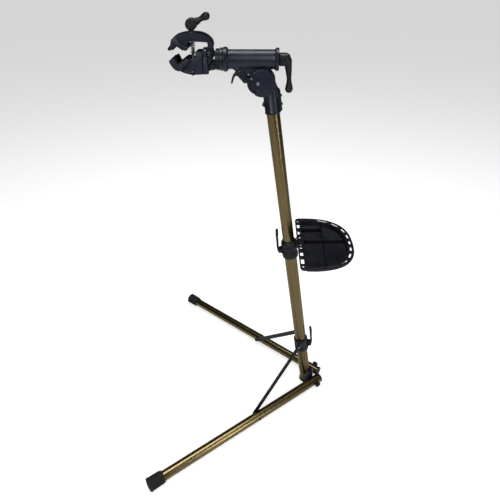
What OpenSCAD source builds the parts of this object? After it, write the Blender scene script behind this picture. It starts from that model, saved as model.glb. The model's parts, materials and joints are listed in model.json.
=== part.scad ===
// Folding bicycle repair stand: two legs, a leaning telescopic mast, a tool tray
// and a rotating clamp head that folds down along the mast.
// X points away from the clamp, Y to the far side, Z up. The origin lies on the
// floor, where the axis of the mast meets it.

/* [Mast] */
// Lean of the mast towards the clamp, in degrees
mast_lean = 8.5; // [6:0.5:9]
// Outside diameter of the lower tube
lower_tube_d = 48; // [48:1:48]
// Outside diameter of the upper tube
upper_tube_d = 43; // [43:1:43]
// Wall of the lower tube
lower_tube_wall = 1.6; // [1.4:0.1:1.6]
// Wall of the upper tube
upper_tube_wall = 1.5; // [1.2:0.1:1.6]
// Top of the lower tube, measured along the mast
lower_tube_top = 776; // [760:2:780]
// Bottom of the upper tube, measured along the mast
upper_tube_bottom = 560; // [500:10:600]
// Bottom of the head socket, measured along the mast
socket_bottom = 1269; // [1250:1:1300]

/* [Collars] */
// Bottom of the collar that clamps the upper tube
height_collar_bottom = 712; // [700:1:720]
// Bottom of the collar that slides and carries the braces
leg_collar_bottom = 207; // [200:1:230]
// Outside diameter of both collars
collar_d = 60; // [58:1:62]
// Length of a collar lever above its pin
lever_len = 88; // [60:2:90]

/* [Legs] */
// Angle of each leg from the line through the mast and the clamp
leg_spread = 37.5; // [30:0.5:40]
// Outside diameter of a leg
leg_d = 39; // [36:1:40]
// Wall of a leg
leg_wall = 1.5; // [1.2:0.1:2]
// Hinge to the tip of the foot
leg_len = 835; // [780:5:840]
// Distance from the leg hinge to the brace pivot on the leg
brace_on_leg = 326; // [310:1:326]
// Width of a brace
brace_w = 19; // [16:1:22]
// Thickness of a brace
brace_t = 4.8; // [4:0.1:5]

/* [Head] */
// Height of the barrel axis above the floor
barrel_z = 1414; // [1405:1:1420]
// Outside diameter of the barrel
barrel_d = 55; // [52:1:58]
// Thickness of each hinge plate on the socket
hinge_plate_t = 6; // [4:1:7]
// Width of the jaws
jaw_w = 58; // [50:1:60]
// Width of the V blocks at the tips of the jaws
vee_w = 88; // [70:1:90]

/* [Tray] */
// Height of the tray rim above the floor
tray_z = 768; // [768:1:768]
// Half of the width of the tray
tray_half_w = 185; // [150:5:185]
// Depth of the tray from the straight edge to the tip
tray_len = 210; // [190:5:210]
// Depth of the tray pan
tray_depth = 20; // [14:1:24]

/* [Hidden] */
$fn = 48;
HULL_FN = 32;
RUN = 0.06;              // radial clearance of a running fit
GAP = 0.4;               // space between parts that move past each other

lower_r = lower_tube_d / 2;
lower_in_r = lower_r - lower_tube_wall;
upper_r = upper_tube_d / 2;
leg_r = leg_d / 2;
collar_r = collar_d / 2;
barrel_r = barrel_d / 2;

// leg hinge, in the row frame, and its place along the mast
hinge_x = 33.4;
hinge_y = 39.2;
foot_r = 27;
hinge_z = foot_r;
hinge_s = -hinge_x * sin(mast_lean) + hinge_z * cos(mast_lean);
hinge_off = hinge_x * cos(mast_lean) + hinge_z * sin(mast_lean);
leg_roll = atan(sin(leg_spread) * tan(mast_lean));
leg_to_mast = acos(cos(leg_spread) * sin(mast_lean));
leg_tail = 34;           // tube behind the hinge

// fold plane, measured from the leg hinge: x along the leg, z upwards
ear_face = 20.5;         // inner side of the leg to the ear of the bracket
brace_in = 20.1;         // leg axis to the outer face of the brace
pin_out = 45;            // brace pivot on the collar, across the mast
pin_up = 236.3;          // brace pivot on the collar, along the mast
pin_x = pin_out * sin(leg_to_mast) + pin_up * cos(leg_to_mast);
pin_z = -pin_out * cos(leg_to_mast) + pin_up * sin(leg_to_mast);
brace_len = norm([brace_on_leg - pin_x, pin_z]);
brace_tilt = atan2(pin_z, brace_on_leg - pin_x);

height_collar_h = 73;
leg_collar_h = 64;
flat_to_axis = 28.4;     // flats of the sliding collar beside the braces
height_pin_s = 745;      // lever pin of the upper collar
leg_pin_s = 234;         // lever pin of the sliding collar
lever_pin_x = 38;        // mast axis to a lever pin
lever_hub_r = 8;
lever_hub_w = 15.6;
cheek_out = 13;
cheek_in = lever_hub_w / 2 + GAP;
lever_pin_r = 2.5;
shoe_r = 6;

// head hinge, in the row frame
pivot_off = -34.3;
pivot_s = 1369;
pivot_x = pivot_off * cos(mast_lean) - pivot_s * sin(mast_lean);
pivot_z = pivot_off * sin(mast_lean) + pivot_s * cos(mast_lean);
pivot_r = 5;
tongue_r = 34;
tongue_w = 39.2;
plate_in = 20;
plate_out = plate_in + hinge_plate_t;
lock_angle = 144;        // lock pin seen from the pivot
lock_reach = 25.4;
lock_r = 3.5;
fold_angle = 98.5;
edge_angle = 131.9;      // lower edge of the web, where the trigger runs
edge_x = -19.7;
edge_z = -16.3;
trigger_w = 11.2;
trigger_slot_w = 12.4;
release_travel = 10;

// barrel, from the rear face forwards
barrel_rear = -174;
barrel_front = -351;
front_collar_r = 34.5;
flange_r = 32.4;
barrel_bore_r = 20;
spindle_r = 10;

// clamp
jaw_pivot_x = -379;
jaw_pivot_z = 1427;
jaw_pin_r = 5;
neck_x = -366.4;         // front end of the spindle, in the plate of the neck
post_x = -394;           // bolt posts on both sides of the lower jaw
rod_x = -432;
rod_r = 4;
seat_z = 1488;
cam_z = 1508.5;
cam_r = 16.5;

BLACK = [0.11, 0.12, 0.15];
NAVY = [0.15, 0.17, 0.23];
GOLD = [0.62, 0.54, 0.36];
STEEL = [0.72, 0.73, 0.75];
RUBBER = [0.07, 0.07, 0.08];
NYLON = [0.55, 0.55, 0.53];

// ---------------------------------------------------------------- frames

// mast frame: x away from the clamp, z along the mast from the floor
module on_mast(s = 0) {
    rotate([0, -mast_lean, 0]) translate([0, 0, s]) children();
}

// leg frame: x towards the foot, y outwards along the hinge, z upwards
module on_leg(far = false) {
    mirror([0, far ? 1 : 0, 0])
        translate([hinge_x, -hinge_y, hinge_z])
            rotate([0, 0, 180 + leg_spread])
                rotate([leg_roll, 0, 0])
                    children();
}

// places children at the leg hinge but parallel to the mast
module beside_mast(far = false) {
    on_leg(far) rotate([0, 90 - leg_to_mast, 0]) children();
}

// head frame: origin at the head hinge, x and z as in the row
module at_pivot() {
    translate([pivot_x, 0, pivot_z]) children();
}

// frame of the trigger: x up along the lower edge of the web, z outwards
module at_edge() {
    at_pivot() translate([edge_x, 0, edge_z])
        rotate([0, -edge_angle, 0]) children();
}

// frame of a collar lever: x outwards from the mast axis, origin at pin height
module at_lever(s, front = false) {
    on_mast(s) rotate([0, 0, front ? 180 : 0]) children();
}

// ---------------------------------------------------------------- shapes

module pipe(r_out, r_in, h) {
    difference() {
        cylinder(r = r_out, h = h);
        translate([0, 0, -1]) cylinder(r = r_in, h = h + 2);
    }
}

// cylinder along Y from y0 to y1
module rod_y(r, y0, y1, fn = $fn) {
    translate([0, y1, 0]) rotate([90, 0, 0]) cylinder(r = r, h = y1 - y0, $fn = fn);
}

// cylinder along X from x0 to x1
module rod_x(r, x0, x1) {
    translate([x0, 0, 0]) rotate([0, 90, 0]) cylinder(r = r, h = x1 - x0);
}

// outline drawn in X and Z, extruded from y0 to y1
module slab(y0, y1) {
    translate([0, y1, 0]) rotate([90, 0, 0]) linear_extrude(y1 - y0) children();
}

// pie-shaped outline between two angles
module sector(r, a0, a1) {
    steps = 8;
    polygon(concat([[0, 0]], [for (i = [0 : steps])
        let (a = a0 + (a1 - a0) * i / steps) [r * cos(a), r * sin(a)]]));
}

// coil spring along Z, a round wire swept round the axis
module coil(r, wire_r, h, turns) {
    per_turn = 14;
    sides = 6;
    n = ceil(turns * per_turn);
    pitch = (h - 2 * wire_r) / turns;
    rise = atan(pitch / (2 * PI * r));
    points = [for (i = [0 : n], j = [0 : sides - 1])
        let (a = 360 * i / per_turn, b = 360 * j / sides,
             u = wire_r * cos(b), v = wire_r * sin(b))
        [(r + u) * cos(a) + v * sin(rise) * sin(a),
         (r + u) * sin(a) - v * sin(rise) * cos(a),
         wire_r + pitch * i / per_turn + v * cos(rise)]];
    walls = [for (i = [0 : n - 1], j = [0 : sides - 1])
        let (k = (j + 1) % sides)
        [i * sides + j, (i + 1) * sides + j, (i + 1) * sides + k, i * sides + k]];
    ends = [[for (j = [0 : sides - 1]) j],
            [for (j = [sides - 1 : -1 : 0]) n * sides + j]];
    polyhedron(points, concat(walls, ends), convexity = 10);
}

// ---------------------------------------------------------------- base

module lower_mast_tube() {
    color(GOLD) difference() {
        on_mast(5) pipe(lower_r, lower_in_r, lower_tube_top - 5);
        bracket_screw_shanks();
    }
}

// casting behind the foot of the mast: two faces take the legs
module base_bracket() {
    front = 20;
    rear = -14;
    out = [hinge_off - ear_face * sin(leg_spread), hinge_y - ear_face * cos(leg_spread)];
    edge = [for (x = [front, rear])
        [out[0] - x * cos(leg_spread), out[1] + x * sin(leg_spread)]];
    side = lower_r + 4.5;
    color(BLACK) difference() {
        union() {
            on_mast(11) linear_extrude(38)
                polygon([[-3, -side], [edge[0][0], -edge[0][1]], [edge[1][0], -edge[1][1]],
                         edge[1], edge[0], [-3, side]]);
            on_mast(48) linear_extrude(14)
                polygon([[-3, -side], [18, -side + 2], [30, -18], [30, 18], [18, side - 2],
                         [-3, side]]);
        }
        on_mast(10) cylinder(r = lower_r, h = 60);
        hinge_bolt_shanks();
        bracket_screw_shanks();
    }
}

module hinge_bolt_shanks() {
    for (far = [false, true]) on_leg(far) rod_y(5, -28.3, 28);
}

module bracket_screw_shanks() {
    for (s = [32, 52]) on_mast(s) rod_x(3, 21, 36);
}

module bracket_screws() {
    color(STEEL) for (s = [32, 52]) on_mast(s) {
        rod_x(3, 21, 36);
        rod_x(5.5, 35.7, 39);
    }
}

// rubber cap under the mast, with its sole cut level
module mast_foot_cap() {
    color(RUBBER) difference() {
        on_mast(-6) union() {
            pipe(28.5, lower_r, 17);
            cylinder(r = 28.5, h = 11);
            cylinder(r = lower_in_r, h = 34);
        }
        translate([-60, -60, -30]) cube([120, 120, 30]);
    }
}

module leg_hinge_bolts() {
    color(STEEL) hinge_bolt_shanks();
}

// lobed plastic knobs that tighten the leg hinges
module leg_hinge_knobs() {
    color(BLACK) for (far = [false, true]) on_leg(far) difference() {
        union() {
            rod_y(8, leg_r + 0.8, 24);
            slab(23, 33) polygon([for (i = [0 : 11])
                let (r = i % 2 == 0 ? 13.4 : 10.8) [r * cos(i * 30), r * sin(i * 30)]]);
        }
        rod_y(5, 0, 28);
    }
}

// ---------------------------------------------------------------- collars

// two cheeks for the lever pin and a pocket for the brake shoe
module lever_cheeks() {
    for (side = [-1, 1]) difference() {
        y0 = side > 0 ? cheek_in : -cheek_out;
        y1 = side > 0 ? cheek_out : -cheek_in;
        union() {
            translate([lever_pin_x, 0, 0]) rod_y(lever_hub_r - 0.5, y0, y1);
            translate([20, y0, -13]) cube([12, y1 - y0, 26]);
            translate([30, y0, -7.5]) cube([8, y1 - y0, 15]);
        }
        translate([lever_pin_x, 0, 0]) rod_y(lever_pin_r, -20, 20);
    }
    translate([20, -cheek_out, -13]) cube([9.2, 2 * cheek_out, 26]);
}

module lever_pin() {
    translate([lever_pin_x, 0, 0]) rod_y(lever_pin_r, -cheek_out, cheek_out);
}

// lever with an eccentric hub, closed against the mast
module collar_lever(lean = 3) {
    difference() {
        union() {
            translate([lever_pin_x, 0, 0]) rod_y(lever_hub_r, -lever_hub_w / 2, lever_hub_w / 2);
            hull() {
                translate([lever_pin_x + 3.5, 0, 2])
                    rod_y(4, -lever_hub_w / 2, lever_hub_w / 2, HULL_FN);
                translate([lever_pin_x + 5.5 + lean, 0, lever_len * 0.5]) rod_y(3.2, -6.5, 6.5, HULL_FN);
            }
            hull() {
                translate([lever_pin_x + 5.5 + lean, 0, lever_len * 0.5]) rod_y(3.2, -6.5, 6.5, HULL_FN);
                translate([lever_pin_x + 4 + 2.4 * lean, 0, lever_len]) rod_y(3.5, -9, 9, HULL_FN);
            }
        }
        translate([lever_pin_x, 0, 0]) rod_y(lever_pin_r + RUN, -20, 20);
    }
}

module height_collar() {
    color(NAVY) difference() {
        union() {
            on_mast(height_collar_bottom) {
                cylinder(r = collar_r, h = 26);
                cylinder(r = 28, h = height_collar_h);
                translate([0, 0, height_collar_h - 20]) cylinder(r = collar_r, h = 14);
            }
            at_lever(height_pin_s, true) lever_cheeks();
        }
        on_mast(height_collar_bottom - 1) cylinder(r = lower_r, h = lower_tube_top - height_collar_bottom + 4);
        on_mast(height_collar_bottom) cylinder(r = upper_r + 0.9, h = height_collar_h + 1);
        at_lever(height_pin_s, true) rod_x(shoe_r, 20, 40);
        on_mast(height_collar_bottom + 40) translate([27, -24, 0]) cube([10, 48, 40]);
    }
}

// split reducing bush between the two tubes
module height_collar_bush() {
    color(NYLON) on_mast(736) {
        pipe(lower_in_r, upper_r + RUN, 40);
        translate([0, 0, lower_tube_top - 736]) pipe(lower_r - 0.5, upper_r + RUN, 3);
    }
}

module height_lever_pin() {
    color(STEEL) at_lever(height_pin_s, true) lever_pin();
}

module height_brake_shoe() {
    color(NYLON) at_lever(height_pin_s, true) rod_x(shoe_r, lower_r, 29.4);
}

module height_lever() {
    color(BLACK) at_lever(height_pin_s, true) collar_lever(-1);
}

// block on the back of the upper collar that the tray hooks into
module tray_bracket() {
    color(BLACK) on_mast(height_collar_bottom) difference() {
        translate([27, -18, 42]) cube([4, 36, 30]);
        for (side = [-1, 1])
            translate([26, side * 11 - 4.3, 53]) cube([7, 8.6, 8.6]);
    }
}

// ---------------------------------------------------------------- sliding collar

module leg_collar() {
    color(NAVY) difference() {
        union() {
            on_mast(leg_collar_bottom) cylinder(r = collar_r, h = leg_collar_h);
            for (far = [false, true]) beside_mast(far) brace_ear();
            at_lever(leg_pin_s) lever_cheeks();
        }
        for (far = [false, true]) beside_mast(far)
            translate([-60, -25, 120]) cube([160, 40, 240]);
        on_mast(leg_collar_bottom - 1) cylinder(r = lower_r + 1.5, h = leg_collar_h + 2);
        at_lever(leg_pin_s) rod_x(shoe_r, 20, 40);
    }
}

// ear that reaches forwards to the pivot of a brace
module brace_ear() {
    hull() {
        translate([pin_out, 0, pin_up]) rod_y(9.5, -30.3, -25, HULL_FN);
        translate([6, -30.3, pin_up - 14]) cube([2, 5.3, 24]);
    }
}

module leg_collar_bush() {
    color(NYLON) difference() {
        on_mast(leg_collar_bottom + 2) pipe(lower_r + 1.5, lower_r + RUN, leg_collar_h - 4);
        at_lever(leg_pin_s) rod_x(shoe_r, 20, 40);
    }
}

module leg_lever_pin() {
    color(STEEL) at_lever(leg_pin_s) lever_pin();
}

module leg_brake_shoe() {
    color(NYLON) at_lever(leg_pin_s) rod_x(shoe_r, lower_r + RUN, 29.4);
}

module leg_lever() {
    color(BLACK) at_lever(leg_pin_s) collar_lever(2.5);
}

// ---------------------------------------------------------------- legs and braces

module leg_tube(far) {
    color(GOLD) difference() {
        on_leg(far) translate([-leg_tail + 4, 0, 0]) rotate([0, 90, 0])
            pipe(leg_r, leg_r - leg_wall, leg_len + leg_tail - 12);
        on_leg(far) rod_y(5 + RUN + 0.02, -30, 30);
        on_leg(far) translate([brace_on_leg, 0, 0]) rod_y(4, -30, 30);
    }
}

// ribbed rubber cap on the end of a leg
module foot_cap(far) {
    cap_len = 62;
    ribs = 20;
    color(RUBBER) on_leg(far) translate([leg_len - cap_len, 0, 0])
        rotate([-leg_roll, 0, 0]) rotate([0, 90, 0]) difference() {
            union() {
                rotate_extrude() polygon([[0, 0], [22.5, 0], [23.5, 3], [24.6, cap_len - 16],
                    [26, cap_len - 12], [foot_r, cap_len - 8], [foot_r, cap_len - 2],
                    [foot_r - 2, cap_len], [0, cap_len]]);
                for (i = [0 : ribs - 1]) rotate([0, 0, i * 360 / ribs])
                    translate([20, -1.3, 4]) cube([6, 2.6, cap_len - 14]);
            }
            translate([0, 0, -1]) cylinder(r = leg_r, h = cap_len - 7);
        }
}

// plug in the open rear end of a leg
module end_cap(far) {
    color(BLACK) on_leg(far) rotate([0, 90, 0]) {
        translate([0, 0, -leg_tail - 2]) cylinder(r = 21, h = 6);
        translate([0, 0, -leg_tail + 4]) cylinder(r = leg_r - leg_wall, h = 14);
    }
}

// bolt that carries a brace on its leg
module brace_bolt(far) {
    color(STEEL) on_leg(far) translate([brace_on_leg, 0, 0]) {
        rod_y(4, -26, leg_r + 1);
        rod_y(6.5, leg_r + 0.02, leg_r + 2.6);
        rod_y(6.2, -brace_in - brace_t - 3.3, -brace_in - brace_t - 0.4, 6);
    }
}

module brace(far) {
    color(BLACK) on_leg(far) translate([brace_on_leg, -brace_in, 0])
        rotate([0, 180 + brace_tilt, 0]) difference() {
            union() {
                rod_y(brace_w / 2, -brace_t, 0);
                translate([brace_len, 0, 0]) rod_y(brace_w / 2, -brace_t, 0);
                translate([0, -brace_t, -brace_w / 2]) cube([brace_len, brace_t, brace_w]);
            }
            rod_y(4 + RUN, -10, 10);
            translate([brace_len, 0, 0]) rod_y(3.5, -10, 10);
            for (z = [-brace_w / 4, brace_w / 4])
                translate([18, -0.6, z - 1.2]) cube([brace_len - 36, 2, 2.4]);
        }
}

// flush screw that joins a brace to the sliding collar
module brace_screw(far) {
    color(STEEL) on_leg(far) translate([brace_on_leg, -brace_in, 0])
        rotate([0, 180 + brace_tilt, 0]) translate([brace_len, 0, 0])
            rod_y(3.5, -brace_t, 0);
}

module near_leg_tube() leg_tube(false);
module far_leg_tube() leg_tube(true);
module near_foot_cap() foot_cap(false);
module far_foot_cap() foot_cap(true);
module near_end_cap() end_cap(false);
module far_end_cap() end_cap(true);
module near_brace_bolt() brace_bolt(false);
module far_brace_bolt() brace_bolt(true);
module near_brace() brace(false);
module far_brace() brace(true);
module near_brace_screw() brace_screw(false);
module far_brace_screw() brace_screw(true);

// ---------------------------------------------------------------- upper mast

module upper_mast_tube() {
    color(GOLD) difference() {
        on_mast(upper_tube_bottom)
            pipe(upper_r, upper_r - upper_tube_wall, socket_bottom + 56 - upper_tube_bottom);
        socket_screw_shanks();
    }
}

module mast_glide_bush() {
    color(NYLON) on_mast(upper_tube_bottom + 2) pipe(lower_in_r - 0.08, upper_r, 36);
}

// outline of a hinge plate, in the mast frame
module plate_outline() {
    translate([pivot_off + 8.8, pivot_s - 2.3]) circle(r = 42);
    polygon([[-25.5, 1300], [25.5, 1300], [25.5, 1342], [12, 1380], [-25, 1372]]);
}

// socket over the upper tube, with two plates for the head hinge
module head_socket() {
    top = socket_bottom + 67;
    color(NAVY) difference() {
        union() {
            on_mast(socket_bottom) cylinder(r = 25.5, h = 67);
            on_mast() for (side = [-1, 1])
                slab(side > 0 ? plate_in - 1 : -plate_out, side > 0 ? plate_out : 1 - plate_in)
                    plate_outline();
            on_mast() slab(-plate_in - 2, plate_in + 2)
                polygon([[-25, 1318], [25.5, 1318], [25.5, 1342], [12, 1380], [-25, 1350]]);
            on_mast(socket_bottom + 3) translate([22, -7, 0]) cube([9, 14, 66]);
            on_mast(socket_bottom + 23) translate([-30, -6, 0]) cube([8, 12, 16]);
        }
        on_mast(socket_bottom - 1) cylinder(r = upper_r, h = 57);
        at_pivot() rod_y(tongue_r + 1.4, -plate_in, plate_in);
        at_pivot() rod_y(pivot_r, -40, 40);
        at_pivot() lock_track();
        socket_screw_shanks();
    }
}

// free path of the lock pin between its two stops
module lock_track() {
    margin = 9.5;
    for (side = [-1, 1]) difference() {
        slab(side > 0 ? 17 : -40, side > 0 ? 40 : -17)
            sector(80, lock_angle - margin, lock_angle + fold_angle + margin);
        rod_y(21.2, -41, 41);
    }
}

module socket_screw_shanks() {
    for (s = [25, 51]) on_mast(socket_bottom + s) rod_x(2.6, upper_r - 2, 34);
    on_mast(socket_bottom + 28.5) rod_x(2.6, -33, -upper_r + 2);
}

module socket_screws() {
    color(STEEL) {
        socket_screw_shanks();
        for (s = [25, 51]) on_mast(socket_bottom + s) rod_x(4.5, 31, 34.5);
        on_mast(socket_bottom + 28.5) rod_x(4.5, -33.5, -30);
    }
}

// bolt and nut through the plates and the tongue
module head_pivot_bolt() {
    color(STEEL) at_pivot() {
        rod_y(pivot_r, -plate_out - 3, plate_out + 3);
        rod_y(8, -plate_out - 4, -plate_out);
        rod_y(8, plate_out, plate_out + 5, 6);
    }
}

// ---------------------------------------------------------------- barrel

module barrel_housing() {
    color(NAVY) difference() {
        union() {
            translate([0, 0, barrel_z]) {
                rod_x(front_collar_r, barrel_front, barrel_front + 24);
                rod_x(barrel_r, barrel_front + 20, barrel_rear - 2);
                rod_x(flange_r, barrel_rear - 10, barrel_rear);
            }
            at_pivot() {
                rod_y(tongue_r, -tongue_w / 2, tongue_w / 2);
                slab(-14, 14) polygon([[-79, 48], [-74, 43.7], [edge_x, edge_z],
                                       [0, -25], [27, -10], [31, 48]]);
            }
        }
        translate([0, 0, barrel_z]) rod_x(barrel_bore_r, barrel_front - 1, barrel_rear + 1);
        at_pivot() rod_y(pivot_r + RUN, -40, 40);
        at_edge() translate([15, -trigger_slot_w / 2, -29])
            cube([41, trigger_slot_w, 60]);
        at_pivot() lock_slot();
        guide_pin_shanks();
        for (side = [-1, 1]) at_pivot() slab(side > 0 ? 4 : -20, side > 0 ? 20 : -4)
            polygon([[-10, 36.5], [4, 36.5], [18, 48], [-22, 48]]);
    }
}

// oblong hole that the lock pin moves along
module lock_slot() {
    hull() {
        rotate([0, -lock_angle, 0]) translate([lock_reach, 0, 0])
            rod_y(lock_r + 0.5, -30, 30, HULL_FN);
        rotate([0, -lock_angle, 0]) translate([lock_reach + release_travel + 1, 0, 0])
            rod_y(lock_r + 0.5, -30, 30, HULL_FN);
    }
}

module barrel_bushes() {
    color(NYLON) translate([0, 0, barrel_z])
        for (x = [barrel_front + 2, barrel_rear - 30]) translate([x, 0, 0])
            rotate([0, 90, 0]) pipe(barrel_bore_r, spindle_r + RUN, 28);
}

// two cross pins that the trigger hangs from
module release_guide_pins() {
    color(STEEL) guide_pin_shanks();
}

module guide_pin_shanks() {
    for (e = [62, 74]) at_edge() translate([e, 0, -5]) rod_y(1.8, -16, 16, 24);
}

module release_spring() {
    color(STEEL) at_pivot() rotate([0, -lock_angle, 0])
        translate([lock_reach + 7.3, 0, 0]) rotate([0, 90, 0]) coil(3.6, 0.6, 24.4, 7);
}

// trigger plate with a finger hook, and the arm that draws the lock pin
module release_trigger() {
    color(BLACK) difference() {
        union() {
            at_edge() slab(-7.5, 7.5)
                polygon([[24, 0.8], [64, 0.8], [68, 8], [64, 24], [53, 38], [48, 35.5],
                         [57, 22], [57, 10], [24, 9]]);
            at_edge() slab(-trigger_w / 2, trigger_w / 2)
                polygon([[19, -20.3], [25, -22], [36, 2], [27, 2]]);
            at_pivot() rotate([0, -lock_angle, 0]) translate([lock_reach, 0, 0])
                rod_y(6.8, 0.5 - trigger_w / 2, trigger_w / 2 - 0.5);
        }
        at_pivot() rotate([0, -lock_angle, 0]) translate([lock_reach, 0, 0])
            rod_y(lock_r, -20, 20);
    }
}

module lock_pin() {
    color(STEEL) at_pivot() rotate([0, -lock_angle, 0]) translate([lock_reach, 0, 0])
        rod_y(lock_r, -plate_out - 1, plate_out + 1);
}

// ---------------------------------------------------------------- clamp head

module spindle() {
    color(STEEL) translate([0, 0, barrel_z]) {
        rod_x(spindle_r, neck_x, barrel_rear - 1);
        rod_x(6, barrel_rear - 2, -146);
    }
}

// toothed ring that indexes the turn of the head
module index_ring() {
    teeth = 24;
    color(BLACK) translate([0, 0, barrel_z]) difference() {
        union() {
            rod_x(28.5, -363.5, -351.5);
            for (i = [0 : teeth - 1]) rotate([i * 360 / teeth, 0, 0])
                translate([-362, -1.6, 0]) cube([9, 3.2, 30]);
        }
        rod_x(spindle_r, -370, -340);
    }
}

// lower jaw with its neck, the hinge cheeks and the V block
module lower_jaw() {
    color(NAVY) neck_plate();
    color(NAVY) difference() {
        union() {
            slab(-jaw_w / 2, jaw_w / 2)
                polygon([[-474, 1392], [-450, 1413], [-442, 1419], [-423, 1419], [-421, 1439],
                         [-404, 1440], [-386, 1432], [-384, 1382], [-398, 1376], [-407, 1375],
                         [-440, 1375], [-458, 1379], [-470, 1385]]);
            slab(-vee_w / 2, vee_w / 2)
                polygon([[-499.5, 1415], [-488, 1424], [-484, 1423], [-474, 1402], [-460, 1412],
                         [-447, 1420.5], [-440, 1420.5], [-436, 1417], [-447, 1408],
                         [-466, 1387.5], [-480, 1389], [-488, 1396], [-495, 1406]]);
            translate([jaw_pivot_x, 0, jaw_pivot_z]) for (side = [-1, 1])
                rod_y(12, side > 0 ? plate_in : -jaw_w / 2, side > 0 ? jaw_w / 2 : -plate_in);
            for (side = [-1, 1]) translate([post_x, side * 25, 1377]) cylinder(r = 10, h = 66);
            slab(-17, 17) polygon([[-386, 1384], [-364, 1386], [-364, 1412], [-386, 1412]]);
        }
        slab(-plate_in, plate_in) translate([jaw_pivot_x, jaw_pivot_z]) circle(r = 14.5);
        slab(-plate_in, plate_in) polygon([[-398, 1416], [-378, 1412.5], [-360, 1415],
                                           [-360, 1450], [-398, 1450]]);
        translate([0, 0, barrel_z]) rod_x(spindle_r, -388, -350);
        translate([jaw_pivot_x, 0, jaw_pivot_z]) rod_y(jaw_pin_r, -60, 60);
        translate([jaw_pivot_x, 0, jaw_pivot_z]) for (side = [-1, 1])
            rod_y(9, side > 0 ? jaw_w / 2 : -60, side > 0 ? 60 : -jaw_w / 2);
        translate([rod_x - 15, -7, 1384]) cube([26, 14, 50]);
        lower_pad_shapes();
        translate([rod_x, 0, 1378]) rod_y(6, -jaw_w, jaw_w);
    }
}

// round plate that carries the end of the spindle
module neck_plate() {
    translate([0, 0, barrel_z]) difference() {
        rod_x(17, neck_x, neck_x + 2.8);
        rod_x(spindle_r, neck_x - 1, neck_x + 4);
    }
}

// rubber linings of the V blocks
module lower_jaw_pads() {
    color(RUBBER) lower_pad_shapes();
}

module lower_pad_shapes() {
    slab(-vee_w / 2 + 3, vee_w / 2 - 3) {
        polygon([[-484.7, 1422], [-481.2, 1423.4], [-472.2, 1404.9], [-475.3, 1402.8]]);
        polygon([[-473.4, 1401.3], [-475.2, 1404.2], [-449.2, 1422.2], [-447.4, 1419.4]]);
    }
}

module jaw_hinge_pin() {
    color(STEEL) translate([jaw_pivot_x, 0, jaw_pivot_z]) {
        rod_y(jaw_pin_r, -38, 38);
        rod_y(9, -39, -jaw_w / 2);
        rod_y(9, jaw_w / 2, 39);
    }
}

// cross nut in the lower jaw that the rod screws into
module rod_barrel_nut() {
    color(STEEL) translate([rod_x, 0, 1378]) rod_y(6, -jaw_w / 2, jaw_w / 2);
}

module upper_jaw() {
    color(NAVY) difference() {
        union() {
            slab(-jaw_w / 2, jaw_w / 2)
                polygon([[-470, 1470], [-486, 1474], [-478, 1481], [-461, 1485.5], [-446, seat_z],
                         [-418, seat_z], [-402, 1485.5], [-388, 1480], [-378, 1472.5],
                         [-371, 1464], [-370, 1456], [-371, 1448], [-386, 1447], [-383.5, 1457],
                         [-385, 1463.5], [-423, 1465.4], [-435.7, 1465.9], [-440.4, 1462.4],
                         [-443.5, 1456], [-448, 1452], [-458, 1456]]);
            slab(-vee_w / 2, vee_w / 2)
                polygon([[-499, 1450], [-497, 1445], [-493.3, 1443.2], [-488.6, 1445.2],
                         [-474.4, 1459.5], [-466.7, 1453.3], [-454, 1445.2], [-447.5, 1443],
                         [-441.7, 1446.3], [-437.5, 1453], [-438.5, 1457], [-443.5, 1453.5],
                         [-448, 1454], [-458.4, 1461], [-470.3, 1475], [-478.5, 1479.3],
                         [-486, 1473], [-488.5, 1467.3], [-490.6, 1458.3]]);
            slab(-plate_in + 0.5, plate_in - 0.5)
                polygon([[-385, 1464], [-372, 1462], [-370, 1440], [-368, 1427], [-391, 1427],
                         [-389, 1440], [-384, 1450]]);
            translate([jaw_pivot_x, 0, jaw_pivot_z]) rod_y(12, -plate_in + 0.5, plate_in - 0.5);
        }
        translate([jaw_pivot_x, 0, jaw_pivot_z]) rod_y(jaw_pin_r + RUN, -60, 60);
        translate([rod_x, 0, 1400]) cylinder(r = rod_r + RUN, h = 120);
        translate([rod_x, 0, 1425]) cylinder(r = 8.4, h = 37.5);
        upper_pad_shapes();
        for (side = [-1, 1]) slab(side > 0 ? plate_in - 0.5 : -40, side > 0 ? 40 : -plate_in + 0.5)
            polygon([[-393, 1430], [-393, 1449], [-360, 1449], [-360, 1430]]);
    }
}

module upper_jaw_pads() {
    color(RUBBER) upper_pad_shapes();
}

module upper_pad_shapes() {
    slab(-vee_w / 2 + 3, vee_w / 2 - 3) {
        polygon([[-488.5, 1446.2], [-486, 1443.8], [-473.6, 1456.2], [-474.8, 1460]]);
        polygon([[-474.4, 1460], [-475.4, 1456.2], [-456, 1443.4], [-454.4, 1446.2]]);
    }
}

// ---------------------------------------------------------------- clamp rod and cam

module clamp_rod() {
    color(STEEL) difference() {
        union() {
            translate([rod_x, 0, 1389]) cylinder(r = rod_r, h = cam_z - 1389);
            translate([rod_x, 0, cam_z]) rod_y(8, -5.5, 5.5);
        }
        translate([rod_x, 0, cam_z]) rod_y(4 + RUN, -10, 10);
    }
}

module rod_spring() {
    color(STEEL) translate([rod_x, 0, 1430]) coil(6.6, 1, 30, 6);
}

module rod_washer() {
    color(STEEL) translate([rod_x, 0, seat_z + 0.3]) pipe(13.5, rod_r, 3);
}

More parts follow.
